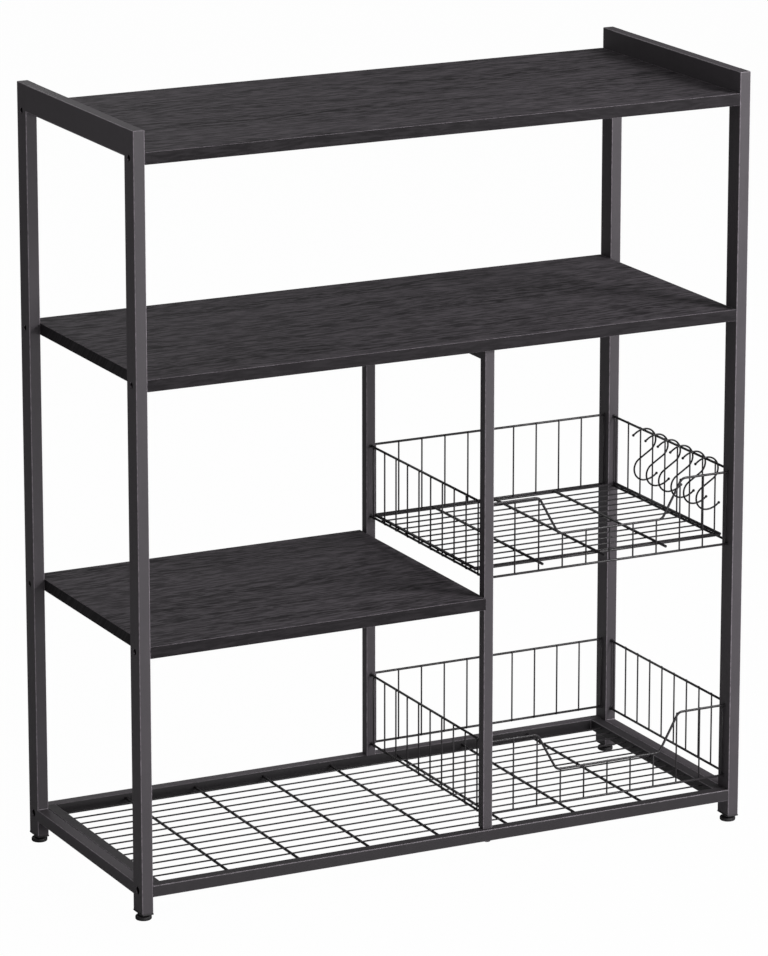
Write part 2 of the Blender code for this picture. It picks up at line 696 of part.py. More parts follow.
def foot_profile():
    """The levelling foot's outline: a round pad, a neck under the plug and a stem up its bore."""
    pad = FOOT_PAD_RADIUS
    ease = FOOT_PAD_EASE
    profile = [(pad - ease, 0), (pad, ease), (pad, FOOT_PAD_HEIGHT - ease), (pad - ease, FOOT_PAD_HEIGHT)]
    profile += [(FOOT_NECK_RADIUS, FOOT_PAD_HEIGHT), (FOOT_NECK_RADIUS, FOOT_SHOULDER)]
    profile += [(FOOT_STEM_RADIUS, FOOT_SHOULDER), (FOOT_STEM_RADIUS, FOOT_SHOULDER + FOOT_STEM_LENGTH)]
    return profile


def make_feet():
    """A plug and a screwed foot under each post."""
    plug = plug_mesh()
    foot = turned("levelling_foot", foot_profile(), FOOT_SIDES)
    for side_label, side in (("left", -1), ("right", 1)):
        for end_label, end in (("front", -1), ("back", 1)):
            label = side_label + "_" + end_label
            place = (side * POST_MID_X, end * POST_MID_Y)
            add_piece(label + "_plug", plug, PLASTIC_LOOK, (*place, PLUG_BASE))
            add_piece(label + "_foot", foot, PLASTIC_LOOK, (*place, 0))


def build():
    """Make the whole shelf."""
    clear_scene()
    make_side_frames()
    make_centre_frame()
    make_boards()
    make_shelf_rails()
    make_wire_grid()
    make_basket("lower", LOWER_BASE)
    upper = make_basket("upper", UPPER_BASE)
    make_tray(upper)
    make_hooks(upper)
    make_feet()


build()
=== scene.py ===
# %% [markdown]
# # Kitchen shelf
# A charcoal steel-tube shelf with wood-grain boards, a wire shelf, two wire baskets and a row of
# S hooks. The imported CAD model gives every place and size. This notebook dresses it: first come
# the surfaces, then finer tubes, boards, wires, hooks, feet and fasteners, and at the end the
# light and the camera.

import json
import math

import bmesh
import bpy
from mathutils import Matrix, Vector

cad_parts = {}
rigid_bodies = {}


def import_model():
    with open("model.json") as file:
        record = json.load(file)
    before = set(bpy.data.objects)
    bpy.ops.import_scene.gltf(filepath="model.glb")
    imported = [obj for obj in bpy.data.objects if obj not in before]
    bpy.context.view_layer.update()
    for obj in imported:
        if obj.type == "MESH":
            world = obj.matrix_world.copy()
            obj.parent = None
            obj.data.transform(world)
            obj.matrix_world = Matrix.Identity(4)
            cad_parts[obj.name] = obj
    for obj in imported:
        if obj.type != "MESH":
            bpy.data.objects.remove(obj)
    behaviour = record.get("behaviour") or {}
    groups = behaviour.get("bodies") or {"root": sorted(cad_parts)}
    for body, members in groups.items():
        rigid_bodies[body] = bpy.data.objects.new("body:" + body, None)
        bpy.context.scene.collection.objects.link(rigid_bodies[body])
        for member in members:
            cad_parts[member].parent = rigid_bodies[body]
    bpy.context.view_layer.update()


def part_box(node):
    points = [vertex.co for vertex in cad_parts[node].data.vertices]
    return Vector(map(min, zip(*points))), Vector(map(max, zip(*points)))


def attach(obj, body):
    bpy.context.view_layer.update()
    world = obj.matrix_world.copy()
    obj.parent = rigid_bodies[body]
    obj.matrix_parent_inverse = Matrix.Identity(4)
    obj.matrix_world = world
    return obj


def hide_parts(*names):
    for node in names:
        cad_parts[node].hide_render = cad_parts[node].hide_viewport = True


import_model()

# %% [markdown]
# ## Sizes
# Each dressed piece fills the same space as its solid, so it is drawn from the same sizes, in
# metres. Sections are named first. Places are read from the solids, which keeps both in step.

# %% Sections of tube, board and wire
POST_W, POST_D, POST_R = 0.0145, 0.0265, 0.0014  # side posts: width, depth, corner radius
CENTRE_W, CENTRE_D, CENTRE_R = 0.0126, 0.0136, 0.0013  # the thinner centre posts
WALL = 0.0012
TOP_RAIL_H, SIDE_RAIL_H = 0.033, 0.0155
SHELF_RAIL, SHELF_TOP = 0.0145, 0.044  # rails round the bottom shelf, and their upper face
BOARD_T = 0.0145
THICK_R, RIM_R, THIN_R = 0.0017, 0.0015, 0.0010  # radii of the wires
SINK = 0.0003  # how far two welded wires melt into each other
GAP = 0.0003  # clearance beside the bottom shelf
SIDES = (("left", -1), ("right", 1))
ENDS = (("front", -1), ("back", 1))
print("post", POST_W, "by", POST_D, "board", BOARD_T)

# %% Places read from the solids
low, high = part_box("left_front_post")
HEIGHT, OUTER_X, HALF_D = high[2], -low[0], -low[1]
INNER_X, MID_X = OUTER_X - POST_W, OUTER_X - POST_W / 2
FACE_Y, MID_Y = HALF_D - POST_D, HALF_D - POST_D / 2
low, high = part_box("centre_front_post")
CENTRE_X = (low[0] + high[0]) / 2
CENTRE_L, CENTRE_RT = CENTRE_X - CENTRE_W / 2, CENTRE_X + CENTRE_W / 2
low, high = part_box("centre_back_post")
CENTRE_Y = (low[1] + high[1]) / 2
CENTRE_FY = CENTRE_Y - CENTRE_D / 2
TOPS = {name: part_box(name)[1][2] for name in ("top_board", "middle_board", "half_board")}
BAY_X = (CENTRE_RT + INNER_X) / 2
SHELF_MID_Z = SHELF_TOP - SHELF_RAIL / 2
SHELF_IN_X, SHELF_IN_Y = INNER_X - GAP - SHELF_RAIL, HALF_D - SHELF_RAIL
PLUG_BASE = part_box("left_front_plug")[0][2]
print("boards", {name: round(top, 4) for name, top in TOPS.items()})

# %% Places of the baskets
UPPER_SHARE, LOWER_LIFT, FENCE_H = 0.3776, 0.0155, 0.0914
UPPER_BASE, LOWER_BASE = HEIGHT * UPPER_SHARE, SHELF_TOP + LOWER_LIFT
BASKETS = (("upper", UPPER_BASE), ("lower", LOWER_BASE))
print("baskets", round(UPPER_BASE, 4), round(LOWER_BASE, 4))

# %% [markdown]
# ## Builders for shader trees
# A surface is a tree of small nodes, and wiring them by hand takes many lines. So a few builders
# come first. Each one makes a node, fills its inputs with numbers or with other nodes' outputs,
# and gives back the result. An effect that several materials share becomes a node group.

# %% Node builders
def fill(tree, made, inputs):
    """Fill a node's inputs with values, or link them to other nodes' outputs."""
    for key, value in inputs.items():
        if isinstance(value, bpy.types.NodeSocket):
            tree.links.new(value, made.inputs[key])
        else:
            made.inputs[key].default_value = value


def node(tree, kind, inputs=None, **settings):
    """Add a node, set its properties and fill its inputs."""
    made = tree.nodes.new(kind)
    for key, value in settings.items():
        setattr(made, key, value)
    fill(tree, made, inputs or {})
    return made


def math_node(tree, operation, first, second, third=None, clamp=False):
    """A Math node's result."""
    inputs = {0: first, 1: second} if third is None else {0: first, 1: second, 2: third}
    return node(tree, "ShaderNodeMath", inputs, operation=operation, use_clamp=clamp).outputs[0]


def noise(tree, vector, scale, detail, rough):
    """A Noise Texture's value. The scale counts features in a metre."""
    inputs = {"Vector": vector, "Scale": scale, "Detail": detail, "Roughness": rough}
    return node(tree, "ShaderNodeTexNoise", inputs).outputs["Fac"]


def stretched(tree, vector, scale):
    """Coordinates scaled by axis."""
    return node(tree, "ShaderNodeMapping", {"Vector": vector, "Scale": scale}).outputs["Vector"]


def object_place(tree):
    """Coordinates on the object, which are metres here."""
    return node(tree, "ShaderNodeTexCoord").outputs["Object"]


def bump(tree, height, strength, distance):
    """A Bump node's normal. The distance is in metres."""
    inputs = {"Height": height, "Strength": strength, "Distance": distance}
    return node(tree, "ShaderNodeBump", inputs).outputs["Normal"]


print("node builders ready")

# %% Greys and ramps
GREEN_SHARE = 0.89  # the coat, boards and plastic all lean a little towards violet


def grey(value):
    """The object's grey, which has slightly less green."""
    return (value, value * GREEN_SHARE, value, 1)


def ramp(tree, value, stops):
    """A Color Ramp from (position, grey) stops, as a grey value."""
    made = node(tree, "ShaderNodeValToRGB", {"Fac": value})
    while len(made.color_ramp.elements) < len(stops):
        made.color_ramp.elements.new(0.5)
    for element, (place, level) in zip(made.color_ramp.elements, stops):
        element.position = place
        element.color = (level, level, level, 1)
    return made.outputs["Color"]


def mix_colour(tree, share, first, second):
    """Blend two colours by a share. Sockets 6 and 7 are the Mix node's two colours."""
    inputs = {"Factor": share, 6: first, 7: second}
    return node(tree, "ShaderNodeMix", inputs, data_type="RGBA").outputs[2]


print("a dark grey", grey(0.067))

# %% Groups and materials
def new_group(name, inputs, outputs):
    """A shader group with float inputs (name, default) and outputs (name, kind)."""
    group = bpy.data.node_groups.new(name, "ShaderNodeTree")
    for label, default in inputs:
        socket = group.interface.new_socket(label, in_out="INPUT", socket_type="NodeSocketFloat")
        socket.default_value = default
    for label, kind in outputs:
        group.interface.new_socket(label, in_out="OUTPUT", socket_type="NodeSocket" + kind)
    return group, group.nodes.new("NodeGroupInput"), group.nodes.new("NodeGroupOutput")


def use_group(tree, group, **values):
    """Place a group in a tree, set its inputs and give back its outputs."""
    return node(tree, "ShaderNodeGroup", values, node_tree=group).outputs


def new_material(name, roughness, specular, metallic=0.0):
    """A material with a Principled shader whose constants sit on its own sockets."""
    material = bpy.data.materials.new(name)
    material.use_nodes = True
    tree = material.node_tree
    shader = tree.nodes["Principled BSDF"]
    values = {"Roughness": roughness, "Metallic": metallic, "Specular IOR Level": specular}
    fill(tree, shader, values)
    return material, tree, shader


print("group and material builders ready")

# %% [markdown]
# ## Powder coat
# Baked powder has a fine pebble, about half a millimetre across, with soft clouds of slightly
# different sheen. An image would need unwrapping, so noise in object coordinates makes it. The
# group gives a shade for the colour, a roughness and a normal.

# %% Coat group
def coat_group():
    """Pebble, specks, clouds and long faint streaks of baked powder."""
    group, start, end = new_group(
        "powder_coat",
        [("Pebble", 1.0), ("Roughness", 0.5)],
        [("Shade", "Float"), ("Roughness", "Float"), ("Normal", "Vector")],
    )
    where = object_place(group)
    pebble = noise(group, where, 1500.0, 3.0, 0.55)
    speck = noise(group, where, 5200.0, 1.0, 0.5)
    cloud = noise(group, where, 26.0, 3.0, 0.6)
    streak = noise(group, stretched(group, where, (60, 60, 3.0)), 2.2, 3.0, 0.5)
    light = math_node(group, "MULTIPLY_ADD", cloud, 0.24, 0.88)
    fleck = math_node(group, "MULTIPLY_ADD", speck, 0.30, 0.85)
    line = math_node(group, "MULTIPLY_ADD", streak, 0.16, 0.92)
    shade = math_node(group, "MULTIPLY", math_node(group, "MULTIPLY", light, fleck), line)
    rough = math_node(group, "MULTIPLY_ADD", cloud, 0.16, -0.08)
    rough = math_node(group, "ADD", rough, start.outputs["Roughness"], clamp=True)
    height = math_node(group, "ADD", pebble, math_node(group, "MULTIPLY", speck, 0.4))
    strength = math_node(group, "MULTIPLY", start.outputs["Pebble"], 0.45)
    normal = bump(group, height, strength, 0.00016)
    fill(group, end, {"Shade": shade, "Roughness": rough, "Normal": normal})
    return group


COAT = coat_group()
print("group", COAT.name)

# %% [markdown]
# ## Thin edges, painted highlights and painted top light
# Powder draws back from an edge and lies thinner there, so edges look a little lighter. The edge
# mask lifts them far more than that, and so paints the highlight that light gives along rounded
# edges. Faces that look up can be painted lighter too, as painted light from above. The Bevel node
# could find the edges, but it's slow. So the edge mask reads how far the normal leans away from the
# three axes, and the top light mask reads how far it looks up.

# %% Edge and painted top light groups
def edge_group():
    """A mask that is 1 where a rounded edge turns, broken up a little along its way."""
    group, start, end = new_group("worn_edge_and_painted_highlight", [("Sharpness", 3.4)], [("Mask", "Float")])
    where = node(group, "ShaderNodeTexCoord").outputs
    lean = node(group, "ShaderNodeVectorMath", {0: where["Normal"]}, operation="ABSOLUTE")
    parts = node(group, "ShaderNodeSeparateXYZ", {0: lean.outputs["Vector"]}).outputs
    main = math_node(group, "MAXIMUM", parts["X"], parts["Y"])
    away = math_node(group, "SUBTRACT", 1.0, math_node(group, "MAXIMUM", main, parts["Z"]))
    turn = math_node(group, "MULTIPLY", away, start.outputs["Sharpness"], clamp=True)
    patches = noise(group, where["Object"], 240.0, 3.0, 0.6)
    broken = ramp(group, patches, [(0.35, 0.45), (0.62, 1.0)])
    fill(group, end, {"Mask": math_node(group, "MULTIPLY", turn, broken)})
    return group


def top_light_group():
    """A mask that is 1 on faces that look up, where a painted top light goes."""
    group, start, end = new_group("painted_top_light", [("Amount", 1.0)], [("Mask", "Float")])
    normal = node(group, "ShaderNodeTexCoord").outputs["Normal"]
    facing = node(group, "ShaderNodeSeparateXYZ", {0: normal}).outputs["Z"]
    level = ramp(group, facing, [(0.6, 0.0), (0.95, 1.0)])
    fill(group, end, {"Mask": math_node(group, "MULTIPLY", level, start.outputs["Amount"])})
    return group


EDGE, TOP_LIGHT = edge_group(), top_light_group()
print("groups", EDGE.name, TOP_LIGHT.name)

# %% Coats of the frame, the wires and the hooks
def coat_material(name, value, roughness=0.50, specular=0.30, pebble=1.0, edge=1.0, top_light=1.0):
    """Charcoal grey coat; edge: thin powder and painted highlight; top_light: painted light on
    tops.
    """
    material, tree, shader = new_material(name, roughness, specular)
    coat = use_group(tree, COAT, Pebble=pebble, Roughness=roughness)
    thin, lit_top = use_group(tree, EDGE)["Mask"], use_group(tree, TOP_LIGHT)["Mask"]
    # painted light: faces that look up are made lighter, as if lit from above
    ground = mix_colour(tree, lit_top, grey(value), grey(value * top_light))
    # painted highlight: edges are lifted to the edge value's grey, which stands in for the light
    # they catch
    lifted = mix_colour(tree, thin, ground, grey(value * edge))
    shaded = {0: lifted, "Scale": coat["Shade"]}
    colour = node(tree, "ShaderNodeVectorMath", shaded, operation="SCALE").outputs["Vector"]
    rough, normal = coat["Roughness"], coat["Normal"]
    fill(tree, shader, {"Base Color": colour, "Roughness": rough, "Normal": normal})
    return material


# the large edge values paint highlights along the rounded corners, far lighter than thin powder
# alone
POST_COAT = coat_material("post_coat", 0.067, edge=7.2)
RAIL_COAT = coat_material("rail_coat", 0.030, edge=10.0)
# painted shade: the back rail is a darker copy of the rail coat, as its face lies in shade; its
# tops are painted lighter as painted light
SHADED_BACK_COAT = coat_material("shaded_back_rail_coat", 0.020, edge=9.0, top_light=4.5)
WIRE_COAT = coat_material("drawn_wire_coat", 0.024, 0.34, 0.35, pebble=0.5)
HOOK_COAT = coat_material("hook_rod_coat", 0.010, 0.30, 0.30, pebble=0.35)
print("coats", [m.name for m in (POST_COAT, RAIL_COAT, SHADED_BACK_COAT, WIRE_COAT, HOOK_COAT)])

# %% [markdown]
# ## Wood-grain laminate
# The boards are chipboard under a dark printed paper with grain along their width. A wave texture
# repeats too plainly, so noise stretched along the board makes it, at three scales: long growth
# bands that wander, narrow streaks inside them, and short dark pores pressed into the film. The
# same field runs over the edge band, so the grain carries on round the front edge.

# %% Grain group
def grain_group():
    """Growth bands, streaks and pores along X, shifted by an offset across the grain."""
    group, start, end = new_group(
        "laminate_grain",
        [("Offset", 0.0)],
        [("Band", "Float"), ("Streak", "Float"), ("Pore", "Float"), ("Normal", "Vector")],
    )
    split = node(group, "ShaderNodeSeparateXYZ", {0: object_place(group)}).outputs
    depth = math_node(group, "MULTIPLY", split["Z"], 0.9)
    across = math_node(group, "ADD", split["Y"], depth)
    across = math_node(group, "ADD", across, start.outputs["Offset"])
    field = node(group, "ShaderNodeCombineXYZ", {0: split["X"], 1: across}).outputs["Vector"]
    drift = noise(group, stretched(group, field, (2.6, 9.0, 1.0)), 1.0, 3.0, 0.5)
    wander = math_node(group, "ADD", across, math_node(group, "MULTIPLY_ADD", drift, 0.05, -0.025))
    bent = node(group, "ShaderNodeCombineXYZ", {0: split["X"], 1: wander}).outputs["Vector"]
    wide = noise(group, stretched(group, bent, (2.6, 30.0, 1.0)), 1.0, 4.0, 0.6)
    band = ramp(group, wide, [(0.38, 0.0), (0.62, 1.0)])
    fleck = noise(group, stretched(group, bent, (27.0, 190.0, 1.0)), 1.0, 4.0, 0.65)
    fine = noise(group, stretched(group, bent, (55.0, 480.0, 1.0)), 1.0, 2.0, 0.5)
    fleck = math_node(group, "MULTIPLY", fleck, 0.65)
    fleck = math_node(group, "MULTIPLY_ADD", fine, 0.35, fleck)
    streak = ramp(group, fleck, [(0.455, 0.0), (0.56, 1.0)])
    dash = noise(group, stretched(group, bent, (26.0, 900.0, 1.0)), 1.0, 2.0, 0.5)
    pore = ramp(group, dash, [(0.60, 0.0), (0.68, 1.0)])
    height = math_node(group, "SUBTRACT", math_node(group, "MULTIPLY", streak, 0.35), pore)
    normal = bump(group, height, 0.25, 0.00007)
    fill(group, end, {"Band": band, "Streak": streak, "Pore": pore, "Normal": normal})
    return group


GRAIN = grain_group()
print("group", GRAIN.name)

# %% Finishes of the boards and their edge bands
SHIFT = 0.731  # moves the grain from board to board, so that no two are alike
# a light grey for the painted highlight along the boards' rounded edges
EDGE_HIGHLIGHT_GREY = 0.50


def board_material(name, offset, dark, light):
    """Dark laminate: bands shift the ground, lighter streaks lie on it, and pores are darker."""
    material, tree, shader = new_material(name, 0.55, 0.08)
    grain, thin = use_group(tree, GRAIN, Offset=offset), use_group(tree, EDGE)["Mask"]
    ground = mix_colour(tree, grain["Band"], grey(dark), grey(dark * 0.6 + light * 0.4))
    wood = mix_colour(tree, math_node(tree, "MULTIPLY", grain["Streak"], 0.68), ground, grey(light))
    pores = math_node(tree, "MULTIPLY", grain["Pore"], 0.5)
    wood = mix_colour(tree, pores, wood, grey(dark * 0.6))
    # painted highlight: the rounded edges of cores and bands are lifted towards the light grey
    wood = mix_colour(tree, math_node(tree, "MULTIPLY", thin, 0.8), wood, grey(EDGE_HIGHLIGHT_GREY))
    rough = math_node(tree, "MULTIPLY_ADD", grain["Streak"], -0.12, 0.62)
    fill(tree, shader, {"Base Color": wood, "Roughness": rough, "Normal": grain["Normal"]})
    return material


BOARD_COATS, BAND_COATS = {}, {}
for index, name in enumerate(TOPS):
    BOARD_COATS[name] = board_material(name + "_laminate", index * SHIFT, 0.017, 0.107)
for index, name in enumerate(TOPS):
    BAND_COATS[name] = board_material(name + "_band", index * SHIFT, 0.015, 0.029)
print("boards", list(BOARD_COATS), "bands", list(BAND_COATS))

# %% [markdown]
# ## Black plastic and zinc
# The feet and plugs are moulded nylon with a spark-eroded surface, which is a fine grit that
# scatters the sheen. The screws are black-zinc plated, so they are metallic and a little worn on
# their drives. Both are small, so one noise for grit or spots is enough.

# %% Nylon and black zinc
def plastic_material(name, value):
    """Dull nylon with a fine grit."""
    material, tree, shader = new_material(name, 0.5, 0.45)
    where = object_place(tree)
    grit, cloud = noise(tree, where, 3800.0, 2.0, 0.6), noise(tree, where, 90.0, 2.0, 0.5)
    colour = mix_colour(tree, cloud, grey(value * 0.8), grey(value * 1.25))
    rough = math_node(tree, "MULTIPLY_ADD", grit, 0.18, 0.42)
    normal = bump(tree, grit, 0.3, 0.00008)
    fill(tree, shader, {"Base Color": colour, "Roughness": rough, "Normal": normal})
    return material


def zinc_material(name, value):
    """Spotted black plating, lighter where it is worn thin."""
    material, tree, shader = new_material(name, 0.35, 0.5, metallic=1.0)
    spots = noise(tree, object_place(tree), 900.0, 3.0, 0.6)
    base = mix_colour(tree, spots, grey(value * 0.6), grey(value * 1.4))
    base = mix_colour(tree, use_group(tree, EDGE)["Mask"], base, grey(value * 2.4))
    rough = math_node(tree, "MULTIPLY_ADD", spots, 0.25, 0.26)
    fill(tree, shader, {"Base Color": base, "Roughness": rough})
    return material


PLASTIC = plastic_material("black_nylon", 0.016)
ZINC = zinc_material("black_zinc", 0.10)
print("small materials", PLASTIC.name, ZINC.name)

# %% [markdown]
# ## Mesh tools
# Almost every metal piece here is a bar: one cross-section carried along a straight or bent line.
# Curve objects could do that, but they leave the ends plain. So two tools in mesh code do most of
# the work: one lays rings of points, and the other skins them. Edges past a set angle stay sharp,
# and weighted normals keep the long flats flat beside round corners.

# %% Rings and skins
AX, AY, AZ = Vector((1, 0, 0)), Vector((0, 1, 0)), Vector((0, 0, 1))


def circle(sides, radius, shift=0.0):
    """Points round a circle. The shift turns them by a part of one side."""
    turn = [2 * math.pi * (k + shift) / sides for k in range(sides)]
    return [(radius * math.cos(a), radius * math.sin(a)) for a in turn]


def outline(width, height, radius, steps=6):
    """Points round a rectangle with rounded corners."""
    points = []
    for corner, (side, end) in enumerate(((1, 1), (-1, 1), (-1, -1), (1, -1))):
        for step in range(steps + 1):
            angle = (corner + step / steps) * math.pi / 2
            across = side * (width / 2 - radius) + radius * math.cos(angle)
            points.append((across, end * (height / 2 - radius) + radius * math.sin(angle)))
    return points


def ring(shape, points, origin, across=AX, up=AY):
    """The points of an outline, laid in the plane of two directions."""
    return [shape.verts.new(origin + across * x + up * y) for x, y in points]


def skin(shape, rings, loop=False):
    """Join rings in order. The ends are closed, or joined to each other."""
    pairs = list(zip(rings, rings[1:])) + ([(rings[-1], rings[0])] if loop else [])
    for first, second in pairs:
        for i in range(len(first)):
            j = (i + 1) % len(first)
            shape.faces.new((first[i], first[j], second[j], second[i]))
    if not loop:
        shape.faces.new(rings[0])
        shape.faces.new(rings[-1])


print("rings of", len(outline(POST_W, POST_D, POST_R)), "points round a post")

# %% Finished pieces
SHARP_ANGLE = 38.0


def link(item):
    """Put an object into the scene."""
    bpy.context.scene.collection.objects.link(item)
    return item


def to_mesh(name, shape, sharp=SHARP_ANGLE):
    """Close a shape into a mesh, smooth but for edges sharper than an angle."""
    bmesh.ops.recalc_face_normals(shape, faces=shape.faces)
    mesh = bpy.data.meshes.new(name)
    shape.to_mesh(mesh)
    shape.free()
    mesh.shade_smooth()
    mesh.set_sharp_from_angle(angle=math.radians(sharp))
    return mesh


def piece(name, mesh, material, body="frame", stands_for=(), flats=True):
    """Link a mesh, dress it, let it ride on a body and stand for its CAD nodes."""
    item = link(bpy.data.objects.new(name, mesh))
    mesh.materials.append(material)
    if flats:
        weighted = item.modifiers.new("flats", "WEIGHTED_NORMAL")
        weighted.keep_sharp = True
    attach(item, body)
    if stands_for:
        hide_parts(*stands_for)


print("piece tools ready")

# %% Bars along a path, turned shapes and cutting
def sweep(shape, path, radii, normal, sides=14):
    """A round bar along a flat path. The normal is square to the path's plane."""
    steps = [(after - before).normalized() for before, after in zip(path, path[1:])]
    rings = []
    for i, (place, radius) in enumerate(zip(path, radii)):
        before, after = steps[max(i - 1, 0)], steps[min(i, len(steps) - 1)]
        along = (before + after).normalized()
        side = normal.cross(along) / max(along.dot(after), 0.7)
        rings.append(ring(shape, circle(sides, radius), place, normal, side))
    skin(shape, rings)


def wire(shape, start, end, radius, normal, sides=14):
    """A straight wire whose cut ends are slightly rounded."""
    start, end, tip = Vector(start), Vector(end), radius * 0.72
    nib = (end - start).normalized() * radius * 0.35
    sweep(shape, [start, start + nib, end - nib, end], [tip, radius, radius, tip], normal, sides)


def lathe(shape, profile, sides):
    """A shape of revolution about Z from radius and height pairs."""
    skin(shape, [ring(shape, circle(sides, radius), AZ * height) for radius, height in profile])


def arc(centre_r, centre_z, radius, start, end, steps):
    """Profile points on a quarter round or less, by degrees."""
    turn = [math.radians(start + (end - start) * k / steps) for k in range(steps + 1)]
    return [(centre_r + radius * math.cos(a), centre_z + radius * math.sin(a)) for a in turn]


def cut(mesh, holes):
    """The mesh with the bars of another shape cut out of it."""
    body = link(bpy.data.objects.new("body", mesh))
    tool = link(bpy.data.objects.new("tool", to_mesh("tool", holes)))
    boolean = body.modifiers.new("holes", "BOOLEAN")
    boolean.operation, boolean.solver, boolean.object = "DIFFERENCE", "EXACT", tool
    depsgraph = bpy.context.evaluated_depsgraph_get()
    made = bpy.data.meshes.new_from_object(body.evaluated_get(depsgraph))
    for item in (body, tool):
        bpy.data.objects.remove(item)
    made.set_sharp_from_angle(angle=math.radians(SHARP_ANGLE))
    return made


print("bar tools ready")

# %% [markdown]
# ## Tubes of the frames
# The side frames are rectangular steel tube, cut square and butt welded, then coated. A solid bar
# would look right from outside but not at the open feet, so each tube is a real hollow section
# with rounded corners. A rail runs a little way into the rounded corner of its post, so only a
# fine line is left at the joint, as on ground welds. Screw and wire holes are cut through walls.

# %% Tube shapes
def tube(start, end, across, up, width, height, radius=POST_R):
    """A hollow tube with open ends."""
    shape = bmesh.new()
    start, end = Vector(start), Vector(end)
    outer = outline(width, height, radius)
    inner = outline(width - 2 * WALL, height - 2 * WALL, radius - WALL)
    turns = ((outer, start), (outer, end), (inner, end), (inner, start))
    skin(shape, [ring(shape, points, place, across, up) for points, place in turns], loop=True)
    return shape


def rail(x, reach, z, width, height, radius=POST_R):
    """A tube from front to back."""
    return tube((x, -reach, z), (x, reach, z), AX, AZ, width, height, radius)


def post_shape(x, y, foot):
    """A post with an open foot and a welded cap, ground flush and eased at its rim."""
    shape, ease = bmesh.new(), 0.0008
    inner = outline(POST_W - 2 * WALL, POST_D - 2 * WALL, POST_R - WALL)
    rings = [ring(shape, inner, Vector((x, y, z))) for z in (HEIGHT - WALL - ease, foot)]
    rings.append(ring(shape, outline(POST_W, POST_D, POST_R), Vector((x, y, foot))))
    for step in range(5):
        turn = step / 4 * math.pi / 2
        inset = ease * (1 - math.cos(turn))
        points = outline(POST_W - 2 * inset, POST_D - 2 * inset, POST_R - inset)
        level = HEIGHT - ease * (1 - math.sin(turn))
        rings.append(ring(shape, points, Vector((x, y, level))))
    skin(shape, rings)
    return shape


def hole(shape, face, inward, radius, sides=20):
    """A level bar through one wall, from just outside a face."""
    face, spare = Vector(face), 0.0008
    path = [face - inward * spare, face + inward * (WALL + spare)]
    sweep(shape, path, [radius, radius], AZ, sides)


def tube_piece(name, shape, coat=POST_COAT, holes=None):
    """A finished tube that stands for the CAD node of its name."""
    mesh = to_mesh(name, shape)
    if holes is not None:
        mesh = cut(mesh, holes)
    piece(name + "_tube", mesh, coat, stands_for=[name])


print("tube shapes ready")

# %% Side frames
ACCESS_R, SHANK_R, BOLT_R, STUB_R = 0.0039, 0.0022, 0.0048, 0.0022  # holes, by what passes them
RIM_HEIGHTS = [base + lift for base in (LOWER_BASE, UPPER_BASE) for lift in (0, FENCE_H)]
FILL = 0.0010  # how far a rail runs into its post's rounded corner


def board_heights(side):
    """The mid heights of the boards that a side frame carries."""
    names = ["top_board", "middle_board"] + (["half_board"] if side < 0 else [])
    return [TOPS[name] - BOARD_T / 2 for name in names]


def post_holes(side, end):
    """Access and shank holes for the screws, and on the right the fence wires' holes."""
    holes, y = bmesh.new(), end * MID_Y
    levels = [(height, ACCESS_R) for height in board_heights(side)] + [(SHELF_MID_Z, BOLT_R)]
    for height, radius in levels:
        hole(holes, (side * OUTER_X, y, height), -AX * side, radius, 28)
        hole(holes, (side * (INNER_X + WALL), y, height), -AX * side, SHANK_R)
    for height in RIM_HEIGHTS if side > 0 else ():
        hole(holes, (INNER_X, y, height), AX, STUB_R)
        hole(holes, (MID_X, end * FACE_Y, height), AY * end, STUB_R)
    return holes


for label, side in SIDES:
    for place, end in ENDS:
        name = f"{label}_{place}_post"
        shape = post_shape(side * MID_X, end * MID_Y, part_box(name)[0][2])
        tube_piece(name, shape, holes=post_holes(side, end))
    for kind, height, top in (("top", TOP_RAIL_H, HEIGHT), ("bottom", SIDE_RAIL_H, SHELF_TOP)):
        shape = rail(side * MID_X, FACE_Y + FILL, top - height / 2, POST_W, height)
        tube_piece(f"{label}_{kind}_rail", shape)
tubes = [item for item in bpy.data.objects if item.name.endswith("_tube")]
print("side frames", sum(len(item.data.polygons) for item in tubes), "faces")

# %% [markdown]
# ## Centre frame and bottom shelf frame
# A thinner frame in the middle carries the baskets and the half board. It stands on the rails of
# the bottom shelf, which are square tube. They are the same hollow sections, so the same tools
# make them, and the centre posts get the same holes for screws and fence wires.

# %% Centre posts
CENTRE_TOP = TOPS["middle_board"] - BOARD_T
HALF_MID = TOPS["half_board"] - BOARD_T / 2


def centre_post(place, end):
    """A thin post with holes for a board screw and the fence wires."""
    holes, y = bmesh.new(), end * CENTRE_Y
    hole(holes, (CENTRE_RT, y, HALF_MID), -AX, ACCESS_R, 28)
    hole(holes, (CENTRE_L + WALL, y, HALF_MID), -AX, SHANK_R)
    for height in RIM_HEIGHTS:
        hole(holes, (CENTRE_RT, end * MID_Y, height), -AX, STUB_R)
        hole(holes, (CENTRE_X, end * CENTRE_FY, height), AY * end, STUB_R)
    foot, cap = (CENTRE_X, y, SHELF_TOP), (CENTRE_X, y, CENTRE_TOP)
    shape = tube(foot, cap, AX, AY, CENTRE_W, CENTRE_D, CENTRE_R)
    tube_piece(f"centre_{place}_post", shape, holes=holes)


print("centre posts from", SHELF_TOP, "to", round(CENTRE_TOP, 4))

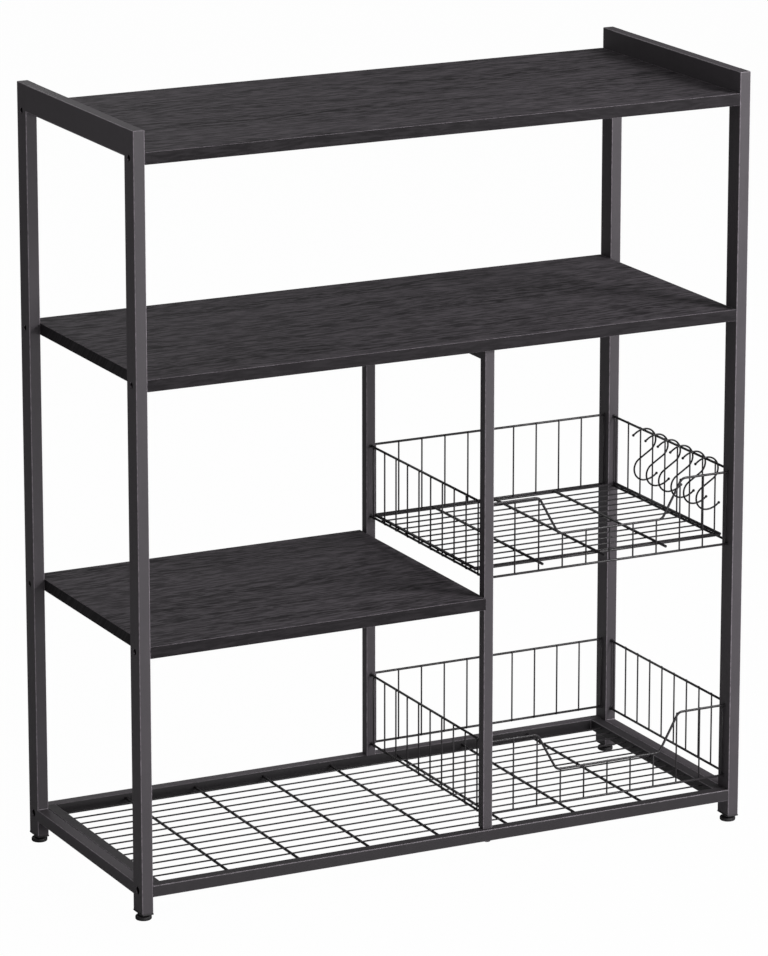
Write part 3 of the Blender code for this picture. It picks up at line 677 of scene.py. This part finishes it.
# %% Centre frame and bottom shelf frame
# the back rail takes the darker coat that carries painted shade
for (place, end), coat in zip(ENDS, (RAIL_COAT, SHADED_BACK_COAT)):
    centre_post(place, end)
    y = end * (HALF_D - SHELF_RAIL / 2)
    left, right = (-INNER_X, y, SHELF_MID_Z), (INNER_X, y, SHELF_MID_Z)
    tube_piece(f"shelf_{place}_rail", tube(left, right, AY, AZ, SHELF_RAIL, SHELF_RAIL), coat)
reach, middle = CENTRE_FY + FILL, CENTRE_TOP - CENTRE_D / 2
tube_piece("centre_top_rail", rail(CENTRE_X, reach, middle, CENTRE_W, CENTRE_D, CENTRE_R))
for label, side in SIDES:
    x = side * (INNER_X - GAP - SHELF_RAIL / 2)
    shape = rail(x, SHELF_IN_Y + FILL, SHELF_MID_Z, SHELF_RAIL, SHELF_RAIL)
    tube_piece(f"shelf_{label}_rail", shape, RAIL_COAT)
print("centre frame and bottom shelf frame made")

# %% [markdown]
# ## Weld beads
# Where a rail's edge meets a post on a face that nobody grinds, a small fillet of weld shows
# through the coat. A bump could fake its ripple, but not its outline. So each bead is a short bar
# whose radius ripples, laid in the corner.

# %% Beads
BEAD_R, SMALL_BEAD_R = 0.0011, 0.0010


def bead(shape, middle, along, length, radius):
    """A rippled fillet of weld in a corner."""
    steps = 26
    path = [Vector(middle) + along * length * (k / steps - 0.5) for k in range(steps + 1)]
    radii = [radius * (0.86 + 0.14 * math.sin(k * 1.9) ** 2) for k in range(steps + 1)]
    radii[0] = radii[-1] = radius * 0.5
    sweep(shape, path, radii, AZ if abs(along.z) < 0.5 else AX, 10)


for label, side in SIDES:
    beads = bmesh.new()
    for end in (-1, 1):
        for level in (HEIGHT - TOP_RAIL_H, SHELF_TOP, SHELF_TOP - SIDE_RAIL_H):
            middle = (side * MID_X, end * FACE_Y, level)
            bead(beads, middle, AX, POST_W - 2 * POST_R, BEAD_R)
    welds = to_mesh("welds", beads)
    piece(f"{label}_frame_welds", welds, POST_COAT, flats=False)
beads = bmesh.new()
for side in (-1, 1):
    for end in (-1, 1):
        corner = (side * SHELF_IN_X, end * SHELF_IN_Y, SHELF_MID_Z)
        bead(beads, corner, AZ, SHELF_RAIL - 2 * POST_R, SMALL_BEAD_R)
for end in (-1, 1):
    middle = (CENTRE_X, end * CENTRE_FY, CENTRE_TOP - CENTRE_D)
    bead(beads, middle, AX, CENTRE_W - 2 * CENTRE_R, SMALL_BEAD_R)
welds = to_mesh("welds", beads)
piece("shelf_and_centre_welds", welds, RAIL_COAT, flats=False)
print("weld beads made")

# %% [markdown]
# ## Boards
# A board is a core between printed sheets, with a glued edge band on each side. One eased box
# would do from afar. Here the band is a strip of its own, so a hair line shows where it meets the
# face, and every edge is slightly rounded to catch the light.

# %% Board cores and edge bands
BAND, SEAM = 0.0009, 0.00008
CORE_EASE, BAND_EASE = 0.00022, 0.0004


def eased_box(shape, low, high, ease, segments=3):
    """A box with rounded edges."""
    made = bmesh.ops.create_cube(shape, size=1.0)["verts"]
    size = Vector(high) - Vector(low)
    for vert in made:
        vert.co = Vector(low) + Vector([(c + 0.5) * s for c, s in zip(vert.co, size)])
    edges = list({edge for vert in made for edge in vert.link_edges})
    bmesh.ops.bevel(
        shape, geom=edges, offset=ease, segments=segments, profile=0.5, affect="EDGES")


for name, top in TOPS.items():
    left, right = -INNER_X, CENTRE_L if name == "half_board" else INNER_X
    low, high = Vector((left, -HALF_D, top - BOARD_T)), Vector((right, HALF_D, top))
    inset, core, bands = Vector((BAND, BAND, 0)), bmesh.new(), bmesh.new()
    eased_box(core, low + inset, high - inset, CORE_EASE, 2)
    core = to_mesh(name, core)
    piece(name + "_core", core, BOARD_COATS[name], stands_for=[name])
    for end in (-1, 1):
        y = sorted((end * HALF_D, end * (HALF_D - BAND + SEAM)))
        eased_box(bands, (left, y[0], low.z), (right, y[1], high.z), BAND_EASE)
    for edge, side in ((left, 1), (right, -1)):
        x = sorted((edge, edge + side * (BAND - SEAM)))
        eased_box(bands, (x[0], low.y + BAND, low.z), (x[1], high.y - BAND, high.z), BAND_EASE)
    piece(name + "_bands", to_mesh(name, bands), BAND_COATS[name])
print("boards", list(TOPS))

# %% [markdown]
# ## Wire work
# The shelf floor, the fences and the basket floor are drawn wire, spot welded where two wires
# cross. Crossing bars alone would look laid on each other, so each weld gets a small squeezed
# lump. The rims of the fences end in holes in the posts, where a black bush holds each one.

# %% Lumps, bushes and even spacing
WIRE_PITCH = 0.0214
LUMP_H, RUN_OUT = 0.0008, 0.0007  # a lump's half height, and how far a wire passes its last weld


def lump(shape, place, size):
    """A squeezed weld where two wires cross."""
    where = Matrix.Translation(Vector(place)) @ Matrix.Diagonal((*size, 1))
    bmesh.ops.create_uvsphere(shape, u_segments=10, v_segments=6, radius=1, matrix=where)


def bush(shape, face, outward, radius):
    """A flanged collar round a level wire where it enters a wall."""
    fit, brim, thick = 0.0001, 0.0005, 0.0006
    inner, flange = STUB_R - fit, STUB_R + brim
    profile = [(inner, -WALL), (inner, 0), (flange, 0), (flange, thick / 3)]
    profile += [(STUB_R + brim * 0.6, brim), (radius, thick), (radius, -WALL)]
    rings = []
    for reach, lift in profile:
        place = Vector(face) + outward * lift
        rings.append(ring(shape, circle(24, reach), place, AZ, AZ.cross(outward)))
    skin(shape, rings, loop=True)


def spread(count, pitch):
    """Places at one pitch about zero."""
    return [(k - (count - 1) / 2) * pitch for k in range(count)]


def wires_across(shape, rows, left, right, z, radius, sides=14):
    """Level wires from left to right, one on each row."""
    for y in rows:
        wire(shape, (left, y, z), (right, y, z), radius, AZ, sides)


def wires_along(shape, rows, front, back, z, radius):
    """Level wires from front to back, one on each row."""
    for x in rows:
        wire(shape, (x, front, z), (x, back, z), radius, AZ)


def lumps(shape, columns, rows, z, size):
    """A lump wherever a column meets a row."""
    for x in columns:
        for y in rows:
            lump(shape, (x, y, z), size)


def wire_piece(name, shape, stands_for):
    """A finished wire piece that stands for one CAD node."""
    mesh = to_mesh(name, shape)
    piece(name, mesh, WIRE_COAT, stands_for=[stands_for], flats=False)


print("wire tools ready")

# %% [markdown]
# ## Bottom wire shelf
# Thin wires run along the shelf and thick ones under them from front to back. Each end is welded
# to a rail, with a lump of its own. Arrays could repeat one wire, but the lumps need the places of
# both rows. So each row is a list of places, and one helper for each direction lays the wires.

# %% Bottom wire shelf
WIRE_DROP, WELD_IN = 0.0043, 0.0002  # thin wires under the rails' tops, and ends inside the rails
SIDE_WELD, END_WELD = 0.0013, 0.0014  # how far the lumps at the rails reach
THIN_COUNT, THICK_COUNT = 13, 7
shape, thin_z = bmesh.new(), SHELF_TOP - WIRE_DROP
thick_z = thin_z - THIN_R - THICK_R + SINK
end_x, end_y = SHELF_IN_X + WELD_IN, SHELF_IN_Y + WELD_IN
thin_rows, thick_rows = spread(THIN_COUNT, WIRE_PITCH), spread(THICK_COUNT, SHELF_IN_X / 4)
wires_across(shape, thin_rows, -end_x, end_x, thin_z, THIN_R, 12)
wires_along(shape, thick_rows, -end_y, end_y, thick_z, THICK_R)
crossing = (THICK_R * 0.9, THIN_R * 1.35, LUMP_H)
lumps(shape, thick_rows, thin_rows, thin_z - THIN_R * 0.8, crossing)
side_weld = (SIDE_WELD, THIN_R * 1.5, THIN_R * 1.2)
lumps(shape, (-SHELF_IN_X, SHELF_IN_X), thin_rows, thin_z, side_weld)
end_weld = (THICK_R * 1.35, END_WELD, THICK_R * 1.15)
lumps(shape, thick_rows, (-SHELF_IN_Y, SHELF_IN_Y), thick_z, end_weld)
wire_piece("shelf_wire_floor", shape, "shelf_wire_grid")
print("wire shelf", len(thin_rows), "thin and", len(thick_rows), "thick wires")

# %% [markdown]
# ## Fences of the baskets
# A fence is two rims with thin uprights welded on their outer side. The side fences are straight.
# The front rim dips in the middle, so that a hand can reach in. A dip drawn with sharp corners
# would look folded, so each corner is rounded by a short curve, as a wire bends in a former.

# %% Side fences
STUB, LAP = 0.0032, RIM_R + THIN_R - SINK  # a rim's end inside a post, and rim to upright
WELD_T = 0.0009  # half the thickness of a weld between a rim and an upright
SIDE_SPACE, BAY_SPACE = 0.0031, 0.0014  # from a post's face to the nearest upright
SIDE_ROWS, BAY_ROWS = 10, 11
SIDE_PITCH = 2 * (FACE_Y - SIDE_SPACE) / (SIDE_ROWS - 1)
BAY_PITCH = (INNER_X - CENTRE_RT - 2 * BAY_SPACE) / (BAY_ROWS - 1)
for label, base in BASKETS:
    for place, x, outward, face in (("left", CENTRE_X, -1, CENTRE_FY), ("right", MID_X, 1, FACE_Y)):
        shape, stand = bmesh.new(), x + outward * LAP
        rims = (base, base + FENCE_H)
        for z in rims:
            wire(shape, (x, -face - STUB, z), (x, face + STUB, z), RIM_R, AZ)
            for end in (-1, 1):
                bush(shape, (x, end * face, z), -AY * end, RIM_R)
        for y in spread(SIDE_ROWS, SIDE_PITCH):
            foot, tip = (stand, y, rims[0] - RUN_OUT), (stand, y, rims[1] + RUN_OUT)
            wire(shape, foot, tip, THIN_R, AX, 12)
            for z in rims:
                size = (WELD_T, THIN_R * 1.4, RIM_R * 0.95)
                lump(shape, (x + outward * RIM_R * 0.86, y, z), size)
        wire_piece(f"{label}_{place}_fence_wires", shape, f"{label}_{place}_fence")
print("side fences with", SIDE_ROWS, "uprights each")

# %% Bends and the dipped rim
DIP, DIP_OUT, DIP_IN, BEND = 0.0485, 0.0990, 0.0720, 0.0055


def bent(corners, reach, steps=8):
    """A path through corners, each one rounded over a reach."""
    path = [corners[0]]
    for before, corner, after in zip(corners, corners[1:], corners[2:]):
        start = corner + (before - corner).normalized() * reach
        end = corner + (after - corner).normalized() * reach
        for k in range(steps + 1):
            t = k / steps
            path.append(start * (1 - t) ** 2 + corner * 2 * t * (1 - t) + end * t * t)
    return path + [corners[-1]]


def rim_level(offset, dipped):
    """The top wire's height over the fence's foot, at a distance from the bay's middle."""
    share = min(max((abs(offset) - DIP_IN) / (DIP_OUT - DIP_IN), 0), 1)
    return FENCE_H - (DIP * (1 - share) if dipped else 0)


def rim_path(left, right, y, z, dipped):
    """The top rim's centre line from post to post."""
    corners = [Vector((left, y, z)), Vector((right, y, z))]
    if dipped:
        turns = ((-DIP_OUT, 0), (-DIP_IN, DIP), (DIP_IN, DIP), (DIP_OUT, 0))
        corners[1:1] = [Vector((BAY_X + offset, y, z - drop)) for offset, drop in turns]
    return bent(corners, BEND)


print("the dip is", DIP, "deep and", 2 * DIP_IN, "wide at its foot")

# %% Front and back fences
for label, base in BASKETS:
    for place, end in ENDS:
        y, dipped, shape = end * MID_Y, end < 0, bmesh.new()
        left, right, stand = CENTRE_RT - STUB, INNER_X + STUB, y - end * LAP
        path = rim_path(left, right, y, base + FENCE_H, dipped)
        sweep(shape, path, [RIM_R] * len(path), AY)
        wire(shape, (left, y, base), (right, y, base), RIM_R, AY)
        for z in (base, base + FENCE_H):
            bush(shape, (CENTRE_RT, y, z), AX, RIM_R)
            bush(shape, (INNER_X, y, z), -AX, RIM_R)
        for offset in spread(BAY_ROWS, BAY_PITCH):
            x, top = BAY_X + offset, base + rim_level(offset, dipped)
            wire(shape, (x, stand, base - RUN_OUT), (x, stand, top + RUN_OUT), THIN_R, AY, 12)
            for z in (base, top):
                size = (THIN_R * 1.4, WELD_T, RIM_R * 0.95)
                lump(shape, (x, y - end * RIM_R * 0.86, z), size)
        wire_piece(f"{label}_{place}_fence_wires", shape, f"{label}_{place}_fence")
print("front and back fences with", BAY_ROWS, "uprights each")

# %% [markdown]
# ## Floor of the upper basket
# The floor is a loose tray that rests on the fences' lower rims: thin wires from side to side, a
# rim at the front and at the back, and three thick wires and two side wires over them. The
# helpers of the wire shelf lay it too. Each layer's height is worked out from the layer below it,
# so that crossing wires touch and the tray doesn't float.

# %% Floor of the upper basket
SIDE_R, REST_GAP = 0.0019, 0.00002  # a side wire's radius, and the gap under a loose part
THICK_PITCH, THICK_SHIFT, THICK_FRONT = 0.0858, -0.0033, -0.149
FRONT_SPACE, RIM_LAP, SIDE_INSET, TRAY_COUNT = 0.0092, 0.002, 0.0007, 12
shape, rest = bmesh.new(), UPPER_BASE + REST_GAP
thin_z, rim_z = rest + RIM_R + THIN_R, rest + 2 * RIM_R
thick_z = thin_z + THIN_R + THICK_R - SINK
side_z = thin_z + THIN_R + 2 * RIM_R - SINK - SIDE_R
left, right = CENTRE_X - RIM_R - RIM_LAP, MID_X + RIM_R + RIM_LAP
rows = spread(TRAY_COUNT, WIRE_PITCH)
front_y, back_y = -rows[-1] - FRONT_SPACE, rows[-1] + WIRE_PITCH
thick_rows = [BAY_X + THICK_SHIFT + x for x in spread(3, THICK_PITCH)]
side_rows = (CENTRE_X + SIDE_INSET, MID_X - SIDE_INSET)
wires_across(shape, rows, left, right, thin_z, THIN_R, 12)
wires_across(shape, (front_y, back_y), CENTRE_X, MID_X, rim_z, RIM_R)
wires_along(shape, thick_rows, THICK_FRONT, back_y + RIM_R, thick_z, THICK_R)
wires_along(shape, side_rows, front_y - RIM_R, back_y + RIM_R, side_z, SIDE_R)
columns, rim_weld = (*thick_rows, *side_rows), (THICK_R * 0.95, RIM_R * 1.2, LUMP_H)
lumps(shape, columns, rows, thin_z + THIN_R * 0.8, crossing)
lumps(shape, columns, (front_y, back_y), rim_z + RIM_R * 0.6, rim_weld)
wire_piece("upper_basket_floor", shape, "upper_floor_tray")
print("basket floor with", len(rows), "thin wires")

# %% [markdown]
# ## S hooks
# Each hook is bent rod: two round bows, turned opposite ways, whose ends open out and carry a
# small ball. A traced curve would wobble, so one half is built from two arcs, and the other is
# the same half turned about the middle. The balls come from the same sweep, by its radius.

# %% Hook shape
ROD, BOW, TIP_BOW, HALF_RISE, BALL = 0.00115, 0.0153, 0.0250, 0.0334, 0.0018
TIP_TURN = 40  # degrees that the open end's wider bow goes round


def hook_half():
    """The centre line of the upper half, from the ball to where the halves meet."""
    tip_z, bow_z = HALF_RISE - TIP_BOW, HALF_RISE - BOW
    bows = [(TIP_BOW, tip_z, math.radians(90 + TIP_TURN - TIP_TURN * k / 9)) for k in range(9)]
    last = -math.asin(BOW / bow_z)
    bows += [(BOW, bow_z, math.pi / 2 + (last - math.pi / 2) * k / 28) for k in range(29)]
    return [Vector((bow * math.cos(a), 0, z + bow * math.sin(a))) for bow, z, a in bows]


def hook_shape():
    """Both halves with their balls, hung on the rim."""
    half = hook_half()
    along = (half[0] - half[1]).normalized()
    meet, crown = math.acos(ROD / BALL), math.pi / 2 * 0.96
    places, radii = [], []
    for k in range(9):
        angle = crown - (crown + meet) * k / 8
        places.append(half[0] + along * BALL * (math.sin(angle) + math.sin(meet)))
        radii.append(BALL * math.cos(angle))
    upper = places + half[1:]
    radii += [ROD] * (len(half) - 1)
    drop = AZ * (RIM_R + REST_GAP + ROD - HALF_RISE)
    path = [point + drop for point in upper + [-point for point in reversed(upper)]]
    shape = bmesh.new()
    sweep(shape, path, radii + radii[::-1], AY, 16)
    return shape


print("hook", round(2 * (HALF_RISE + ROD), 4), "high")

# %% Hooks on the rim
HOOKS, FIRST_ROW = 6, 2  # the first one hangs two rows behind the middle
hook_mesh = to_mesh("hook", hook_shape())
for index in range(HOOKS):
    mesh, name, y = hook_mesh.copy(), f"s_hook_{index + 1}", (FIRST_ROW - index) * SIDE_PITCH
    mesh.transform(Matrix.Translation((MID_X, y, UPPER_BASE + FENCE_H)))
    piece(name + "_rod", mesh, HOOK_COAT, f"hook_{index + 1}", [name], flats=False)
print("hooks", HOOKS, "of", len(hook_mesh.polygons), "faces each")

# %% [markdown]
# ## End plugs
# A moulded plug closes each post's foot, with a thin flange that stands just proud of the tube,
# ribs that grip inside it, and a bore for the foot. Its rings all have the same count of points,
# so one skin can go round the flange, up the ribs, and back down the bore.

# %% Plugs
LIP, FLANGE_T, CORE_H, BORE_R = 0.0005, 0.0016, 0.013, 0.0033
RIB_GAP, GROOVE_GAP, RIB_ROWS = 0.00012, 0.00045, 9  # from the tube's wall to ribs and grooves
ROUND_GAP = 0.0001  # what a square's corner radius lacks of a full round


def plug_shape(x, y):
    """Flange with a soft rim, a ribbed core inside the tube, and the bore."""
    shape, step, soft = bmesh.new(), 0.0002, 0.0004
    turn = [math.atan2(py, px) for px, py in outline(POST_W, POST_W, POST_W / 2 - ROUND_GAP)]
    bore = [(BORE_R * math.cos(a), BORE_R * math.sin(a)) for a in turn]
    levels = [(0, 0), (LIP * 0.7, LIP * 0.3), (LIP, LIP)]
    levels += [(LIP, FLANGE_T - soft), (LIP - soft * 0.75, FLANGE_T)]
    for row in range(RIB_ROWS):
        rib = -WALL - (RIB_GAP if row % 2 else GROOVE_GAP)
        levels.append((rib, FLANGE_T + step + CORE_H * row / (RIB_ROWS - 1)))
    rings = [ring(shape, bore, Vector((x, y, PLUG_BASE)))]
    for grow, z in levels:
        points = outline(POST_W + 2 * grow, POST_D + 2 * grow, POST_R + grow)
        rings.append(ring(shape, points, Vector((x, y, PLUG_BASE + z))))
    rings.append(ring(shape, bore, Vector((x, y, PLUG_BASE + FLANGE_T + CORE_H + step))))
    skin(shape, rings, loop=True)
    return shape


print("plug of", round(POST_W + 2 * LIP, 4), "by", round(POST_D + 2 * LIP, 4))

# %% [markdown]
# ## Levelling feet
# The foot screws up into the plug: a round pad with a soft rim and a shallow recess under it, a
# neck, and a threaded stem. A stack of rings would give grooves, not a thread. The true spiral
# comes from shearing stacked rings and joining the last side to the ring one turn further on.

# %% Foot and thread
STEM_LOW, STEM_HIGH = 0.0076, 0.0236


def foot_profile():
    """Pad, neck and collar, from the recess under the pad upwards."""
    pad, high, inner, recess = 0.0098, 0.0052, 0.0066, 0.0007
    sole, brow, fillet = 0.0015, 0.0019, 0.0006  # radii of the pad's edges and of the neck's foot
    neck, collar, stem = 0.0056, 0.0073, 0.0027
    profile = [(0.0008, recess), (0.0060, recess), (inner, 0.0)]
    profile += arc(pad - sole, sole, sole, -90, 0, 6)
    profile += arc(pad - brow, high - brow, brow, 0, 82, 7)
    profile += [(inner, high)] + arc(neck + fillet, high + fillet, fillet, -90, -180, 4)
    profile += [(neck, collar)] + arc(neck - fillet, collar, fillet, 0, 90, 4)
    return profile + [(stem, collar + fillet)]


def thread(shape, low, high, crest=0.0029, root=0.00245, pitch=0.001, sides=28):
    """A spiral thread with V flanks."""
    steps = 4
    rows = int((high - low) / pitch) * steps
    radii = [root, (root + crest) / 2, crest, (root + crest) / 2]
    grid = []
    for row in range(rows + 1):
        line = ring(shape, circle(sides, radii[row % steps]), AZ * (low + row * pitch / steps))
        for k, vert in enumerate(line):
            vert.co.z += pitch * k / sides
        grid.append(line)
    for row in range(rows):
        for a, b, c, d in zip(grid[row], grid[row][1:], grid[row + 1][1:], grid[row + 1]):
            shape.faces.new((a, b, c, d))
    for row in range(rows - steps):
        turned = grid[row + steps][0], grid[row + steps + 1][0]
        shape.faces.new((grid[row][-1], *turned, grid[row + 1][-1]))
    shape.faces.new([grid[row][0] for row in range(steps, 0, -1)] + grid[0])
    shape.faces.new([grid[rows - row][-1] for row in range(steps, 0, -1)] + grid[rows][::-1])


print("stem", round(STEM_HIGH - STEM_LOW, 4), "long")

# %% Plugs and feet under the posts
for label, side in SIDES:
    for place, end in ENDS:
        name, x, y = f"{label}_{place}", side * MID_X, end * MID_Y
        plug = to_mesh(name, plug_shape(x, y))
        piece(name + "_end_plug", plug, PLASTIC, stands_for=[name + "_plug"])
        shape = bmesh.new()
        lathe(shape, foot_profile(), 56)
        thread(shape, STEM_LOW, STEM_HIGH)
        bmesh.ops.translate(shape, verts=shape.verts, vec=(x, y, 0))
        foot, body = to_mesh(name, shape), name + "_foot_screw"
        foot_name, node_name = name + "_levelling_foot", name + "_foot"
        piece(foot_name, foot, PLASTIC, body, [node_name], flats=False)
print("plugs and feet made")

# %% [markdown]
# ## Screws and bolts
# The boards are held by screws driven through the posts: each head sits on the inner wall and
# shows through an access hole in the outer one. The bottom shelf hangs on larger socket bolts, and
# two button bolts hold the centre posts from below. Cutting a recess into each head would take a
# slow boolean, so the skin itself dives in: its last rings are a cross or a hexagon.

# %% Screw shapes
HEAD_SIDES, DOME = 48, math.radians(80)


def drive(kind, reach):
    """Points round a cross or a hexagonal recess."""
    points, arm, half_side = [], reach * 0.27, math.pi / 6
    for x, y in circle(HEAD_SIDES, 1.0, 0.5):
        if kind == "cross":
            wide, tall = max(abs(x), 1e-6), max(abs(y), 1e-6)
            far = max(min(arm / wide, reach / tall), min(reach / wide, arm / tall))
        else:
            sector = (math.atan2(y, x) + half_side) % (2 * half_side) - half_side
            far = reach * math.cos(half_side) / math.cos(sector)
        points.append((far * x, far * y))
    return points


def screw(name, place, facing, head_r, head_h, shank_r, shank, kind):
    """A dome head that looks along one direction, with its shank behind it."""
    rounds = [(shank_r * 0.5, -shank), (shank_r, -shank + shank_r * 0.5), (shank_r, 0)]
    rounds += [(head_r, 0), (head_r, head_h * 0.22)]
    for k in range(1, 7):
        turn = DOME * k / 6
        rise = 0.22 + 0.78 * math.sin(turn) / math.sin(DOME)
        rounds.append((head_r * (0.45 + 0.55 * math.cos(turn)), head_h * rise))
    reach, taper = (head_r * 0.52, 0.55) if kind == "cross" else (head_r * 0.42, 0.9)
    recess = [(reach, head_h), (reach * 0.92, head_h * 0.9), (reach * taper, head_h * 0.3)]
    shape = bmesh.new()
    rings = [ring(shape, circle(HEAD_SIDES, radius, 0.5), AZ * z) for radius, z in rounds]
    rings += [ring(shape, drive(kind, size), AZ * z) for size, z in recess]
    skin(shape, rings)
    turn = AZ.rotation_difference(Vector(facing)).to_matrix().to_4x4()
    where = Matrix.Translation(Vector(place)) @ turn
    bmesh.ops.transform(shape, matrix=where, verts=shape.verts)
    piece(name, to_mesh(name, shape, 30.0), ZINC, flats=False)


print("screw heads have", HEAD_SIDES, "sides")

# %% Screws in the posts and bolts under the shelf
BOARD_SCREW = (0.0035, 0.0022, 0.0019, 0.016, "cross")
SHELF_BOLT = (0.0044, 0.0032, 0.0021, 0.010, "hex")
BUTTON_BOLT = (0.0048, 0.0026, 0.0021, 0.010, "hex")
for label, side in SIDES:
    for place, end in ENDS:
        x, y, facing = side * (INNER_X + WALL), end * MID_Y, AX * side
        for index, height in enumerate(board_heights(side)):
            name = f"{label}_{place}_board_screw_{index + 1}"
            screw(name, (x, y, height), facing, *BOARD_SCREW)
        screw(f"{label}_{place}_shelf_bolt", (x, y, SHELF_MID_Z), facing, *SHELF_BOLT)
for place, end in ENDS:
    seat = (CENTRE_L + WALL, end * CENTRE_Y, HALF_MID)
    screw(f"centre_{place}_board_screw", seat, AX, *BOARD_SCREW)
    under = (CENTRE_X, end * (HALF_D - SHELF_RAIL / 2), SHELF_TOP - SHELF_RAIL)
    screw(f"centre_{place}_bolt", under, -AZ, *BUTTON_BOLT)

# %% [markdown]
# ## Floor and light
# A studio shot of a dark object on white uses large soft boxes round a pale sweep. One lamp could
# not do it: the fronts would be right and the tops black. So each direction has its own soft
# light, and its power was chosen from the greys of the faces that only it reaches. Two at the
# front make the fronts the lightest faces, a near one lifts the upper right, the ones behind, over
# and at the right graze the boards and rails, and the left gets very little. The floor looks
# almost white to the camera but bounces light as a mid grey does, so undersides stay dark.

# %% Floor
WHITE = (1, 1, 1, 1)
FLOOR_REACH, FLOOR_Z = 14.0, -0.0002  # just under the pads, so that their faces don't fight


def make_floor():
    """A plain sheet that the eye sees as white and light sees as grey."""
    mesh = bpy.data.meshes.new("floor")
    turns = ((-1, -1), (1, -1), (1, 1), (-1, 1))
    corners = [(x * FLOOR_REACH, y * FLOOR_REACH, FLOOR_Z) for x, y in turns]
    mesh.from_pydata(corners, [], [(0, 1, 2, 3)])
    floor = link(bpy.data.objects.new("floor", mesh))
    material, tree, shader = new_material("pale_floor", 0.9, 0.0)
    shader.inputs["Base Color"].default_value = (0.5, 0.5, 0.5, 1)
    glow = node(tree, "ShaderNodeEmission", {"Color": WHITE, "Strength": 1.0})
    eye = node(tree, "ShaderNodeLightPath").outputs["Is Camera Ray"]
    share = math_node(tree, "MULTIPLY", eye, 0.985)
    blend = node(tree, "ShaderNodeMixShader", {0: share, 1: shader.outputs[0], 2: glow.outputs[0]})
    tree.links.new(blend.outputs[0], tree.nodes["Material Output"].inputs["Surface"])
    mesh.materials.append(material)


make_floor()
print("floor at", FLOOR_Z)

# %% Studio walls
def make_world(level):
    """Walls that look white and light the object weakly."""
    world = bpy.data.worlds.new("studio")
    bpy.context.scene.world = world
    world.use_nodes = True
    tree = world.node_tree
    tree.nodes.clear()
    eye = node(tree, "ShaderNodeLightPath").outputs["Is Camera Ray"]
    seen = node(tree, "ShaderNodeBackground", {"Color": WHITE, "Strength": 1.0})
    felt = node(tree, "ShaderNodeBackground", {"Color": WHITE, "Strength": level})
    blend = node(tree, "ShaderNodeMixShader", {0: eye, 1: felt.outputs[0], 2: seen.outputs[0]})
    out = node(tree, "ShaderNodeOutputWorld")
    tree.links.new(blend.outputs[0], out.inputs["Surface"])


make_world(0.157)
print("world", bpy.context.scene.world.name)

# %% Soft lights
def soft_light(name, place, aim, width, height, power):
    """A soft box that the camera doesn't see."""
    light = bpy.data.lights.new(name, "AREA")
    light.shape, light.energy = "RECTANGLE", power
    light.size, light.size_y = width, height
    item = link(bpy.data.objects.new(name, light))
    item.location = place
    item.rotation_euler = (Vector(aim) - Vector(place)).to_track_quat("-Z", "Y").to_euler()
    item.visible_camera = False
    return item


# each one's place, aim, width, height and power in watts
soft_light("low_front", (0.2, -4.0, 0.5), (0, 0, 0.5), 2.5, 0.8, 57)
soft_light("high_front", (2.8, -3.4, 2.0), (0, 0, 0.5), 1.6, 1.6, 65)
soft_light("near_right", (1.2, -1.4, 1.7), (0.4, 0, 0.8), 0.5, 0.5, 26)
side_light = soft_light("right", (3.5, 0.5, 1.5), (0, 0, 0.5), 2.0, 2.0, 66)
side_light.visible_glossy = False  # its mirror image would whiten the boards seen from the left
soft_light("over", (0.3, -0.3, 3.2), (0.1, 0, 0.9), 1.6, 1.2, 5)
soft_light("behind", (0, 3.5, 2.5), (0, 0, 0.5), 2.0, 2.0, 19)
soft_light("near_left", (-1.1, -0.3, 1.25), (-0.4, 0, 0.93), 0.3, 0.3, 1.0)
print("lights", [light.name for light in bpy.data.lights])

# %% [markdown]
# ## Camera
# The picture was taken from the left, a little above the top board, with a long lens. A plain
# camera with a guessed lens would make the shelf lean or bulge, so its place, direction and focal
# length were solved from the corners of the boards and posts. The shift moves the picture up the
# film, as a view camera does, and is kept small.

# %% Camera
IMAGE_W, IMAGE_H, FILM = 768, 956, 36.0  # the picture in pixels, and the film's height
FOCAL_PX, CENTRE_PX = 5152.656, (384, 384)
PLACE, YAW, PITCH = (-2.7273, -5.413, 2.1019), 0.4664, -0.2475


def make_camera(focal_px, centre_px, place, yaw, pitch):
    """A camera from a measured view: focal length and principal point in pixels."""
    camera = bpy.data.cameras.new("camera")
    camera.sensor_fit = "VERTICAL"
    camera.sensor_height = FILM
    camera.sensor_width = FILM * IMAGE_W / IMAGE_H
    camera.lens = focal_px * FILM / IMAGE_H
    camera.shift_x = (IMAGE_W / 2 - centre_px[0]) / IMAGE_H
    camera.shift_y = (centre_px[1] - IMAGE_H / 2) / IMAGE_H
    camera.clip_end = 100
    item = link(bpy.data.objects.new("camera", camera))
    level = math.cos(pitch)
    forward = Vector((math.sin(yaw) * level, math.cos(yaw) * level, math.sin(pitch)))
    item.rotation_euler = forward.to_track_quat("-Z", "Y").to_euler()
    item.location = place
    bpy.context.scene.camera = item


bpy.context.scene.view_settings.view_transform = "Standard"
make_camera(FOCAL_PX, CENTRE_PX, PLACE, YAW, PITCH)
print("lens", round(bpy.context.scene.camera.data.lens, 1), "mm")

# %% [markdown]
# ## Update of the scene
# The dressed model has to fill the same box as the solids. At the end the view layer is brought
# up to date.

# %% Update of the scene
bpy.context.view_layer.update()
